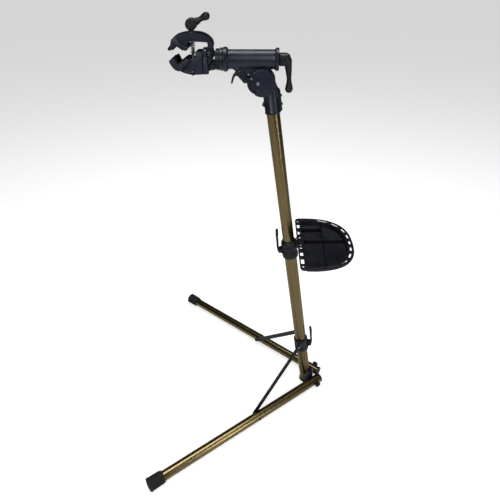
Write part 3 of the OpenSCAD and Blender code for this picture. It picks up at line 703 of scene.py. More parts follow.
@dataclass
class Maker:
    """What every sub-assembly needs: the frame, the finishes and the handing over."""

    frame: StandFrame
    palette: Palette

    def hand_over(self, piece: bpy.types.Object, name: str, body: str, finish: Finish,
                  nodes: Sequence[str] = (), place: Optional[Matrix] = None, angle: float = 35) -> bpy.types.Object:
        """Sets a finished piece in the row frame and dresses it.

        Args:
            piece: The piece, in bench millimetres.
            name: Its name.
            body: The CAD body that it rides on.
            finish: Its finish.
            nodes: CAD nodes that it stands for.
            place: Placing from bench millimetres to row metres.
            angle: Edges sharper than this stay sharp, in degrees.

        Returns:
            The piece.
        """
        Bench.move(piece, place if place is not None else self.frame.row())
        piece.name = name.replace(" ", "_")
        piece.data.name = piece.name
        piece.data.materials.clear()
        piece.data.materials.append(finish.material())
        Bench.take(piece)
        bpy.ops.object.shade_smooth_by_angle(angle=math.radians(angle))
        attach(piece, body)
        if nodes:
            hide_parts(*nodes)
        log.info("%s rides on %s", name, body)
        return piece


# ------------------------------------------------------------------ mast and base


@dataclass
class Mast(Maker):
    """The two drawn tubes of the mast and the rubber foot."""

    lower_r: float = 24.0
    lower_in_r: float = 22.4
    upper_r: float = 21.5
    upper_in_r: float = 20.0
    lower_span: Point = (5.0, 776.0)
    upper_span: Point = (560.0, 1325.0)
    foot_r: float = 28.5

    def build(self) -> None:
        """Makes both tubes and the foot."""
        self.tube("lower mast tube", "base", "lower_mast_tube", self.lower_r, self.lower_in_r, self.lower_span)
        self.tube("upper mast tube", "upper_mast", "upper_mast_tube", self.upper_r, self.upper_in_r,
                  self.upper_span)
        self.foot()

    def tube(self, name: str, body: str, node: str, outer: float, inner: float, span: Point) -> None:
        """Draws one tube of the mast between two heights along it."""
        piece = Bench.tube(outer, inner, span[1] - span[0])
        place = self.frame.mast() @ Matrix.Translation((0, 0, span[0]))
        self.hand_over(piece, name, body, self.palette.mast, [node], place)

    def foot(self) -> None:
        """Turns the rubber foot with its two grooves and cuts its sole level."""
        r = self.foot_r
        profile = [(0, -8), (r, -8), (r, 2), (r - 1.2, 2.6), (r - 1.2, 3.8), (r, 4.4), (r, 6.4), (r - 1.2, 7.0),
                   (r - 1.2, 8.0), (r, 8.6), (r, 10), (r - 0.8, 11), (self.lower_r, 11), (self.lower_r, 5),
                   (0, 5)]
        piece = Bench.turned(profile, 72, ring=False)
        Bench.move(piece, self.frame.mast())
        Bench.edit(piece)
        bpy.ops.mesh.bisect(plane_co=(0, 0, 0), plane_no=(0, 0, -1), use_fill=True, clear_outer=True)
        bpy.ops.object.mode_set(mode="OBJECT")
        self.hand_over(piece, "rubber mast foot", "base", self.palette.rubber, ["mast_foot_cap"], Matrix())


@dataclass
class BaseBracket(Maker):
    """The casting behind the foot of the mast and the knobs of the leg hinges."""

    bottom: float = 11.0
    height: float = 51.0
    ear_face: float = 20.5
    ear_front: float = 20.0
    ear_rear: float = -14.0
    knob_r: float = 13.2
    lobes: int = 6

    def build(self) -> None:
        """Makes the casting, the knobs and the bolt heads."""
        self.casting()
        for side in Side:
            self.knob(side)

    def edge(self, along: float) -> Point:
        """Returns a point of the ear's face in mast x and y, at a distance along the leg."""
        spot = self.frame.leg(Side.NEAR) @ Vector((along, -self.ear_face, 0))
        local = self.frame.mast().inverted() @ spot
        return local.x, local.y

    def casting(self) -> None:
        """Casts the bracket round the tube, with a web pocket between the ears."""
        front, rear = self.edge(self.ear_front), self.edge(self.ear_rear)
        outline = [(-3, -28.4), front, rear, (rear[0], -rear[1]), (front[0], -front[1]), (-3, 28.4)]
        body = Bench.prism(outline, self.height)
        bore = Bench.rod(24.05, 80, steps=72)
        Bench.move(bore, Matrix.Translation((0, 0, -10)))
        slopes = []
        for side in Side:
            slope = Bench.prism([(-25, -15), (45, -15), (45, 15), (-25, 15)], 34)
            tilt = Matrix.Rotation(math.radians(side.value * 40), 4, "X")
            slopes.append(Bench.move(slope, Matrix.Translation((10, side.value * 40, 45)) @ tilt
                                     @ Matrix.Translation((0, 0, -17))))
        pocket = Bench.prism([(30, -11), (60, -11), (60, 11), (30, 11)], 30, 3)
        Bench.move(pocket, Matrix.Translation((5, 0, 12)))
        Bench.cut(body, [bore, *slopes, pocket])
        ribs = [Bench.move(Bench.prism([(28, -1.2), (rear[0] - 1, -1.2), (rear[0] - 1, 1.2), (28, 1.2)], 34),
                           Matrix.Translation((0, y, 9))) for y in (-5.5, 5.5)]
        Bench.soften(body, 1.2, 3)
        Bench.join(body, ribs)
        place = self.frame.mast() @ Matrix.Translation((0, 0, self.bottom))
        self.hand_over(body, "cast leg bracket", "base", self.palette.casting, ["base_bracket"], place)

    def knob(self, side: Side) -> None:
        """Moulds a lobed knob with a recessed face on a leg hinge."""
        outline = []
        for i in range(self.lobes * 12):
            turn = math.tau * i / (self.lobes * 12)
            radius = self.knob_r - 1.6 + 1.5 * math.cos(self.lobes * turn)
            outline.append((radius * math.cos(turn), radius * math.sin(turn)))
        grip = Bench.prism(outline, 9.6)
        Bench.edit(grip, everything=False)
        bpy.ops.mesh.select_mode(type="FACE")
        bpy.ops.object.mode_set(mode="OBJECT")
        for face in grip.data.polygons:
            face.select = face.normal.z > 0.9
        bpy.ops.object.mode_set(mode="EDIT")
        bpy.ops.mesh.inset(thickness=3.2)
        bpy.ops.mesh.extrude_region_move(TRANSFORM_OT_translate={"value": (0, 0, -1.8)})
        bpy.ops.mesh.select_mode(type="VERT")
        bpy.ops.object.mode_set(mode="OBJECT")
        Bench.soften(grip, 0.8, 3)
        hub = Bench.rod(8, 3.6, 0.6)
        stud = Bench.rod(4.4, 3.0, 0.6, 24)
        Bench.move(grip, Matrix.Translation((0, 0, 23.2)))
        Bench.move(hub, Matrix.Translation((0, 0, 20.2)))
        Bench.move(stud, Matrix.Translation((0, 0, 30.6)))
        Bench.join(grip, [hub, stud])
        place = self.frame.leg(side) @ along_y(0, 0, 0)
        nodes = ["leg_hinge_knobs"] if side is Side.NEAR else []
        self.hand_over(grip, f"{side.word} hinge knob", "base", self.palette.plastic, nodes, place)


@dataclass
class Collars(Maker):
    """The collar that clamps the upper tube and the one that slides for the legs."""

    outer_r: float = 30.0
    pin_x: float = 38.0
    hub_r: float = 8.0
    hub_w: float = 7.8
    cheek_in: float = 8.2
    cheek_out: float = 13.0
    lever_len: float = 88.0
    height_bottom: float = 712.0
    height_h: float = 73.0
    leg_bottom: float = 207.0
    leg_h: float = 64.0
    ear_in: float = 25.05
    ear_out: float = 30.3

    def build(self) -> None:
        """Makes both collars, their levers and the tray's bracket."""
        self.height_collar()
        self.leg_collar()
        front = Matrix.Rotation(math.pi, 4, "Z")
        self.lever("height lever", "height_clamp_lever", "height_lever", "height_lever_turn", front, -1.0)
        self.lever("leg lever", "leg_clamp_lever", "leg_lever", "leg_lever_turn", Matrix(), 2.5)
        self.tray_bracket()

    def cheeks(self, height: float) -> list[bpy.types.Object]:
        """Makes the two cheeks that hold a lever's pin, with their screw heads.

        Args:
            height: Height of the pin on the bench.

        Returns:
            The cheeks and their base block.
        """
        made = []
        outline = [(22, height - 15), (27, height - 15), (34, height - 8), *arc(self.pin_x, height, 7.6, -80, 80, 10),
                   (33, height + 9), (27, height + 15), (22, height + 15)]
        for low in (self.cheek_in, -self.cheek_out):
            cheek = Bench.slab(outline, low, low + self.cheek_out - self.cheek_in)
            Bench.soften(cheek, 0.8, 2)
            made.append(cheek)
        for side in (-1, 1):
            head = Bench.rod(4.6, 1.4, 0.4, 24)
            made.append(Bench.move(head, along_y(self.pin_x, side * self.cheek_out - 0.7, height)))
        block = Bench.slab([(21, height - 13), (29, height - 13), (29, height + 13), (21, height + 13)],
                           -self.cheek_out, self.cheek_out, 1.5)
        Bench.cut(block, [Bench.move(Bench.rod(6.1, 30, 0.2), along_x(15, 0, height))])
        return [*made, block]

    def bands(self, height: float, inner: float, ends: float) -> list[Point]:
        """Returns the profile of a collar: two clamping bands and a waist between them."""
        r = self.outer_r
        return [(inner, 0), (r - 1.5, 0), (r, 1.5), (r, ends - 1), (r - 1.6, ends + 0.6),
                (r - 1.6, height - ends - 0.6), (r, height - ends + 1), (r, height - 1.5),
                (r - 1.5, height), (inner, height)]

    def staves(self, radius: float, low: float, high: float, angles: Iterable[float]) -> list[bpy.types.Object]:
        """Makes upright ribs round a collar's waist at the given angles."""
        rib = Bench.prism([(radius - 2, -1.1), (radius + 1.1, -1.1), (radius + 1.1, 1.1), (radius - 2, 1.1)],
                          high - low)
        Bench.soften(rib, 0.4, 1)
        made = [Bench.copy(rib, Matrix.Rotation(math.radians(a), 4, "Z") @ Matrix.Translation((0, 0, low)))
                for a in angles]
        bpy.data.objects.remove(rib)
        return made

    def height_collar(self) -> None:
        """Moulds the upper collar with its split, ribs and lever cheeks."""
        h = self.height_h
        profile = [(24.0, 0), (28.5, 0), (30, 1.6), (30, 23), (28.2, 25), (28.2, 52), (29.9, 54), (29.9, 66),
                   (28.0, 68), (26.5, h), (22.5, h), (22.5, 68), (24.0, 67)]
        body = Bench.turned(profile, 96)
        turned = Bench.turned([(24.0, 8), (30.7, 8), (30.7, 11), (24.0, 11)], 96)
        lip = Bench.turned([(24.0, 16), (30.5, 16), (30.5, 18), (24.0, 18)], 96)
        ribs = self.staves(28.2, 26, 52, [a for a in range(50, 320, 15) if not 150 < a < 210])
        front = Matrix.Rotation(math.pi, 4, "Z")
        pin = self.frame.in_mast("height_lever_turn").z - self.height_bottom
        cheeks = [Bench.move(c, front) for c in self.cheeks(pin)]
        slit = Bench.prism([(-34, -0.9), (-22, -0.9), (-22, 0.9), (-34, 0.9)], 24)
        Bench.cut(body, [Bench.move(slit, Matrix.Translation((0, 0, 52)))])
        Bench.soften(body, 0.5, 2)
        Bench.join(body, [turned, lip, *ribs, *cheeks])
        place = self.frame.mast() @ Matrix.Translation((0, 0, self.height_bottom))
        self.hand_over(body, "upper collar", "base", self.palette.plastic, ["height_collar"], place)

    def leg_collar(self) -> None:
        """Moulds the sliding collar with flats and ears for the braces."""
        body = Bench.turned(self.bands(self.leg_h, 25.5, 16), 96)
        pin = self.frame.in_mast("leg_lever_turn").z - self.leg_bottom
        place = self.frame.mast() @ Matrix.Translation((0, 0, self.leg_bottom))
        shaves = [self.on_fold(side, [(-90, -60), (70, -60), (70, 90), (-90, 90)], -self.ear_in, 10, place)
                  for side in Side]
        ribs = self.staves(28.4, 17, 47, (-25, 25, 150, 165, 180, 195, 210))
        Bench.cut(body, shaves)
        Bench.soften(body, 0.6, 2)
        ears = [self.on_fold(side, self.ear_outline(), -self.ear_out, -self.ear_in, place) for side in Side]
        for ear in ears:
            Bench.soften(ear, 0.9, 2)
        Bench.join(body, [*ribs, *ears, *self.cheeks(pin)])
        self.hand_over(body, "sliding collar", "sliding_collar", self.palette.plastic, ["leg_collar"], place)

    def ear_outline(self) -> list[Point]:
        """Returns the outline of an ear, in the fold plane with the pivot at the origin."""
        return [*arc(0, 0, 9.5, -110, 80, 12), (-37, 9), (-42, -14)]

    def on_fold(self, side: Side, outline: Sequence[Point], low: float, high: float,
                place: Matrix) -> bpy.types.Object:
        """Makes a slab parallel to a leg's fold plane, in the sliding collar's frame.

        Args:
            side: The leg it belongs to.
            outline: Outline round the brace's pivot: x forwards, y up the mast.
            low: Its outer face, measured from the leg's axis.
            high: Its inner face, measured the same way.
            place: Placing of the collar.

        Returns:
            The slab, in the collar's bench millimetres.
        """
        tilt = Matrix.Rotation(math.acos(self.lean_along_leg()), 4, "Y")
        turn = Matrix.Rotation(math.pi / 2, 4, "Y") @ tilt.inverted()
        spot = self.frame.leg(side) @ turn @ Matrix.Translation((45, 0, 236.3))
        return Bench.move(Bench.slab(outline, low, high), place.inverted() @ spot)

    def lean_along_leg(self) -> float:
        """Returns the cosine between the mast and a leg."""
        along = -self.frame.line("near_leg_fold").cross(Vector((0, 0, 1))).normalized()
        return abs(along.dot(self.frame.line("mast_slide")))

    def lever(self, name: str, body: str, node: str, joint: str, turn: Matrix, lean: float) -> None:
        """Moulds a clamp lever: an eccentric hub and a curved grip with ridges.

        Args:
            name: Name of the piece.
            body: Its CAD body.
            node: The CAD node that it stands for.
            joint: The joint of its pin.
            turn: Turn about the mast.
            lean: How far the grip leans away from the mast.
        """
        top = self.lever_len
        back = [(2.8, 4), (2.6 + lean * 0.5, 20), (1.6 + lean, top * 0.45), (1.2 + lean * 1.8, top * 0.75),
                (-0.8 + lean * 2.4, top - 2)]
        front = [(3.8 + lean * 2.4, top + 3.0), (8.4 + lean * 2.4, top), (9.6 + lean * 1.9, top * 0.78),
                 (10.2 + lean, top * 0.45), (10.6 + lean * 0.5, 18), (9.0, 2), (5, -5)]
        arm = Bench.slab(flowing([*back, *front], 4), -7.0, 7.0)
        Bench.soften(arm, 1.8, 3)
        grip = Bench.slab(flowing([(p[0], p[1]) for p in (*back[3:], *front[:3])], 4), -8.8, 8.8)
        Bench.soften(grip, 2.0, 3)
        hub = Bench.move(Bench.rod(self.hub_r, 2 * self.hub_w, 0.8), along_y(0, -self.hub_w, 0))
        ridges = []
        for i in range(5):
            ridge = Bench.rod(0.9, 13, 0.3, 12)
            height = top * 0.62 + i * 5
            ridges.append(Bench.move(ridge, along_y(9.5 + lean * (1.4 + 0.2 * i), -6.5, height)))
        Bench.join(arm, [hub, grip, *ridges])
        pin = self.frame.in_mast(joint)
        place = self.frame.mast() @ Matrix.Translation((0, 0, pin.z)) @ turn @ Matrix.Translation((self.pin_x, 0, 0))
        self.hand_over(arm, name, body, self.palette.plastic, [node], place)

    def tray_bracket(self) -> None:
        """Moulds the hook block behind the upper collar, with two screws and a clamp band."""
        block = Bench.prism([(27, -18), (31, -18), (31, 18), (27, 18)], 30, 1.0)
        Bench.move(block, Matrix.Translation((0, 0, 42)))
        Bench.cut(block, [Bench.move(Bench.prism([(26, -4.3), (33, -4.3), (33, 4.3), (26, 4.3)], 8.6),
                                     Matrix.Translation((0, y, 53))) for y in (-11, 11)])
        Bench.soften(block, 0.9, 2)
        band = Bench.turned([(28.2, 43), (30.4, 43), (30.4, 52), (28.2, 52)], 72)
        Bench.soften(band, 0.5, 1)
        heads = []
        for y in (-14, 14):
            head = Bench.rod(3.4, 2.2, 0.6, 6)
            heads.append(Bench.move(head, along_x(30.4, y, 48)))
        Bench.join(block, [band, *heads])
        place = self.frame.mast() @ Matrix.Translation((0, 0, self.height_bottom))
        self.hand_over(block, "tray bracket", "base", self.palette.plastic, ["tray_bracket"], place)


# ------------------------------------------------------------------ legs


@dataclass
class Legs(Maker):
    """The two legs with their caps, bolts and braces."""

    tube_r: float = 19.5
    wall: float = 1.5
    tail: float = 34.0
    length: float = 835.0
    foot_len: float = 62.0
    foot_r: float = 27.0
    ribs: int = 20
    brace_w: float = 19.0
    brace_t: float = 4.8
    brace_in: float = 20.1
    brace_len: float = 341.96

    def build(self) -> None:
        """Makes both legs."""
        for side in Side:
            finish = self.palette.near_leg if side is Side.NEAR else self.palette.far_leg
            self.tube(side, finish)
            self.foot(side)
            self.end_cap(side)
            self.bolt(side)
            self.brace(side)

    def tube(self, side: Side, finish: Finish) -> None:
        """Draws the tube of a leg."""
        piece = Bench.tube(self.tube_r, self.tube_r - self.wall, self.length + self.tail - 12)
        place = self.frame.leg(side) @ along_x(4 - self.tail, 0, 0)
        self.hand_over(piece, f"{side.word} leg tube", f"{side.word}_leg", finish, [f"{side.word}_leg_tube"], place)

    def foot(self, side: Side) -> None:
        """Moulds the ribbed rubber foot with its flange and domed end."""
        long, flange = self.foot_len, self.foot_r
        profile = [(self.tube_r, 0), (22.3, 0), (23.4, 1.4), (23.6, 4), (24.0, long - 17), (25.4, long - 13),
                   (flange - 0.6, long - 10), (flange, long - 8), (flange, long - 3), (flange - 2.6, long - 0.5),
                   (flange - 6, long), (0, long), (0, long - 8), (self.tube_r, long - 8)]
        body = Bench.turned(profile, 80)
        stave = Bench.slab([(22, 5), (25.2, 6.5), (25.9, long - 15), (22, long - 11)], -1.3, 1.3)
        Bench.soften(stave, 0.6, 2)
        staves = [Bench.copy(stave, Matrix.Rotation(math.tau * i / self.ribs, 4, "Z")) for i in range(self.ribs)]
        bpy.data.objects.remove(stave)
        rings = [Bench.turned([(18 - 6 * i, long - 0.3), (20 - 6 * i, long - 0.3), (19.6 - 6 * i, long + 0.5),
                               (18.4 - 6 * i, long + 0.5)], 48) for i in range(3)]
        Bench.join(body, [*staves, *rings])
        level = Matrix.Rotation(-math.asin(self.frame.line("near_leg_fold").z * -1), 4, "X")
        place = self.frame.leg(side) @ Matrix.Translation((self.length - long, 0, 0)) @ level @ along_x(0, 0, 0)
        self.hand_over(body, f"{side.word} rubber foot", f"{side.word}_leg", self.palette.rubber,
                       [f"{side.word}_foot_cap"], place)

    def end_cap(self, side: Side) -> None:
        """Turns the plug in the rear end of a leg, with a ring and a small dome."""
        profile = [(0, 0.8), (6, 0), (17, 0), (20.2, 0.8), (21, 2), (21, 5.4), (20.4, 6), (17.9, 6), (17.9, 16),
                   (16, 18), (0, 18)]
        piece = Bench.turned(profile, 72, ring=False)
        place = self.frame.leg(side) @ along_x(-self.tail - 2, 0, 0)
        self.hand_over(piece, f"{side.word} leg plug", f"{side.word}_leg", self.palette.plastic,
                       [f"{side.word}_end_cap"], place)

    def bolt(self, side: Side) -> None:
        """Makes the bolt that carries the brace: a domed head, a shank and a nut."""
        shank = Bench.move(Bench.rod(4, 45, 0.5, 32), along_y(0, -25.5, 0))
        dome = Bench.turned([(0, 0), (6.5, 0), (6.3, 1.3), (5.0, 2.3), (2.8, 2.8), (0, 2.9)], 40, ring=False)
        Bench.move(dome, along_y(0, self.tube_r - 0.3, 0))
        nut = Bench.rod(6.2, 2.8, 0.5, 6)
        Bench.move(nut, along_y(0, -self.brace_in - self.brace_t - 3.2, 0))
        Bench.join(shank, [dome, nut])
        place = self.frame.leg(side) @ Matrix.Translation((self.frame.brace_reach(), 0, 0))
        self.hand_over(shank, f"{side.word} brace bolt", f"{side.word}_leg", self.palette.black_steel,
                       [f"{side.word}_brace_bolt"], place)

    def brace(self, side: Side) -> None:
        """Presses a brace: a bar with round ends, raised edges and two ribs."""
        half, long = self.brace_w / 2, self.brace_len
        outline = [*arc(long, 0, half, -90, 90, 16), *arc(0, 0, half, 90, 270, 16)]
        bar = Bench.slab(outline, -self.brace_t, 0)
        hole = Bench.move(Bench.rod(4.06, 20, 0.1), along_y(0, -10, 0))
        grooves = []
        for face in (0, -self.brace_t):
            for low, high in ((-6.6, -2.6), (-1.9, 1.9), (2.6, 6.6)):
                shape = [(16, low), (long - 16, low), (long - 16, high), (16, high)]
                grooves.append(Bench.slab(shape, face - 0.9, face + 0.9, 1.2))
        Bench.cut(bar, [hole, *grooves])
        Bench.soften(bar, 0.5, 2)
        pivot = self.collar_pivot()
        reach = self.frame.brace_reach()
        tilt = math.atan2(pivot.y, reach - pivot.x)
        place = (self.frame.leg(side) @ Matrix.Translation((reach, -self.brace_in, 0))
                 @ Matrix.Rotation(math.pi + tilt, 4, "Y"))
        self.hand_over(bar, f"{side.word} brace bar", f"{side.word}_brace_bar", self.palette.paint,
                       [f"{side.word}_brace"], place)

    def collar_pivot(self) -> Vector:
        """Returns the brace's pivot on the collar, along the leg and above it."""
        out, up = 45.0, 236.3
        along = -self.frame.line("near_leg_fold").cross(Vector((0, 0, 1))).normalized()
        angle = math.acos(abs(along.dot(self.frame.line("mast_slide"))))
        return Vector((out * math.sin(angle) + up * math.cos(angle),
                       up * math.sin(angle) - out * math.cos(angle)))


# ------------------------------------------------------------------ tray


@dataclass
class Tray(Maker):
    """The moulded tool tray: a rim with slots, a pan, ribs and hook tongues."""

    front: float = -82.5
    top: float = 768.0
    depth: float = 20.0
    half_w: float = 185.0
    length: float = 210.0
    rim: float = 24.0
    wall: float = 2.2
    fullness: float = 2.6
    rib_y: float = 22.0
    rib_x: float = 15.0
    divider_y: float = 105.0

    def build(self) -> None:
        """Makes the tray."""
        pan = self.shell()
        Bench.cut(pan, [*self.edge_holes(), *self.slots()])
        Bench.soften(pan, 0.45, 2, 40)
        Bench.join(pan, [*self.ribs(), *self.tongues(), *self.beads()])
        self.hand_over(pan, "tool tray", "tray", self.palette.plastic, ["tool_tray"])

    def outline(self, inset: float, steps: int = 72) -> list[Point]:
        """Returns the tray's outline, a full half-ellipse behind a straight edge.

        Args:
            inset: Distance inwards from the rim's edge.
            steps: Stretches round the curve.

        Returns:
            The corners, from the near front corner round the tip to the far one.
        """
        middle = self.front + 34
        long, wide = self.length - 34 - inset, self.half_w - inset
        power = 2 / self.fullness
        curve = []
        for i in range(steps + 1):
            turn = math.radians(-90 + 180 * i / steps)
            curve.append((middle + long * abs(math.cos(turn)) ** power,
                          math.copysign(wide * abs(math.sin(turn)) ** power, turn)))
        corner = max(14 - inset / 3, 5)
        start = self.front + inset
        far = [(start + corner + corner * math.cos(a), wide - 1.6 * corner + 1.6 * corner * math.sin(a) - 0.6)
               for a in (math.radians(95 + 17 * k) for k in range(6))]
        return [*curve, *far, *[(x, -y) for x, y in reversed(far)]]

    def level(self, inset: float, low: float, high: float) -> bpy.types.Object:
        """Makes a solid with the tray's outline between two heights.

        Args:
            inset: Distance inwards from the rim's edge.
            low: Height of its underside.
            high: Height of its top.

        Returns:
            The solid.
        """
        return Bench.move(Bench.prism(self.outline(inset), high - low), Matrix.Translation((0, 0, low)))

    def shell(self) -> bpy.types.Object:
        """Forms the flat rim with its turned-down lip and the pan hanging inside it."""
        top, wall, floor = self.top, self.wall, self.top - self.depth
        shell = self.level(0, top - 4.5, top)
        Bench.soften(shell, 0.9, 3, 40)
        Bench.cut(shell, [self.level(wall, top - 6, top - wall), self.level(self.rim, top - 6, top + 2)])
        pan = self.level(self.rim - wall, floor - wall, top - 0.4)
        Bench.soften(pan, 0.9, 3, 60)
        Bench.cut(pan, [self.level(self.rim, floor, top + 2)])
        return Bench.join(shell, [pan])

    def hole(self, corners: Sequence[Point], corner_r: float) -> bpy.types.Object:
        """Makes a cutter through the rim."""
        return Bench.move(Bench.prism(corners, 14, corner_r), Matrix.Translation((0, 0, self.top - 8)))

    def edge_holes(self) -> list[bpy.types.Object]:
        """Returns cutters for the tool holes along the straight edge."""
        x = self.front + self.rim / 2 - 1
        made = []
        for y, wide, long in ((-131, 12, 28), (-84, 11, 21), (-43, 7.5, 8), (31, 7, 7), (118, 11, 27)):
            made.append(self.hole([(x - wide / 2, y - long / 2), (x + wide / 2, y - long / 2),
                                   (x + wide / 2, y + long / 2), (x - wide / 2, y + long / 2)],
                                  5 if y > 100 else 2.2))
        made.append(self.hole([(x - 5, 52), (x + 6, 66), (x - 5, 80)], 1.5))
        for y, radius in ((-163, 4.0), (-22, 3.4), (157, 4.0)):
            made.append(self.hole(arc(x, y, radius, 0, 345, 23), 0))
        return made

    def slots(self) -> list[bpy.types.Object]:
        """Returns cutters for the slots that follow the curved rim."""
        ring = self.outline(self.rim / 2)[:73]
        made = []
        for middle, span in ((9, 3.0), (18, 2.6), (26, 2.0), (32, 1.4), (36, 0.7), (40, 1.4), (46, 2.0),
                             (54, 2.6), (63, 3.0)):
            ends = []
            for step in (middle - span, middle + span):
                low = int(math.floor(step))
                part = step - low
                a, b = Vector(ring[low]), Vector(ring[low + 1])
                ends.append(a.lerp(b, part))
            line = (ends[1] - ends[0]).normalized()
            side = Vector((-line.y, line.x)) * 3.2
            shape = [ends[0] - side, ends[1] - side, ends[1] + side, ends[0] + side]
            made.append(self.hole([(p.x, p.y) for p in shape], 2.0))
        return made

    def ribs(self) -> list[bpy.types.Object]:
        """Makes the dividers of the pan, each with a rounded top."""
        floor = self.top - self.depth
        reach = self.length + self.front - self.rim - 2
        start = self.front + self.rim - 0.5
        wide = self.half_w - self.rim - 1.5
        spans = (((start, self.rib_y), (reach, self.rib_y + 6)), ((self.rib_x, -wide), (self.rib_x + 6, wide)),
                 ((start, self.divider_y), (self.rib_x + 4, self.divider_y + 8)))
        made = []
        for first, last in spans:
            a, b = Vector(first), Vector(last)
            line = (b - a).normalized()
            side = Vector((-line.y, line.x)) * 1.1
            rib = Bench.prism([tuple(a - side), tuple(b - side), tuple(b + side), tuple(a + side)], self.depth - 3.5)
            Bench.soften(rib, 0.8, 2, 60)
            made.append(Bench.move(rib, Matrix.Translation((0, 0, floor - 0.5))))
        return made

    def beads(self) -> list[bpy.types.Object]:
        """Makes the raised bead on the inner edge of the rim."""
        outer, inner = self.outline(self.rim - 3.4), self.outline(self.rim - 1.2)
        bead = Bench.prism(outer, 1.0)
        Bench.cut(bead, [Bench.move(Bench.prism(inner, 4), Matrix.Translation((0, 0, -1.5)))])
        Bench.soften(bead, 0.3, 1, 40)
        return [Bench.move(bead, Matrix.Translation((0, 0, self.top - 0.4)))]

    def tongues(self) -> list[bpy.types.Object]:
        """Makes the two tongues that hook into the bracket."""
        made = []
        for y in (-11, 11):
            tongue = Bench.prism([(self.front - 4, y - 3.6), (self.front + 11, y - 3.6),
                                  (self.front + 11, y + 3.6), (self.front - 4, y + 3.6)], 4.6, 0.8)
            made.append(Bench.move(tongue, Matrix.Translation((0, 0, self.top - 5.4))))
        return made


# ------------------------------------------------------------------ head


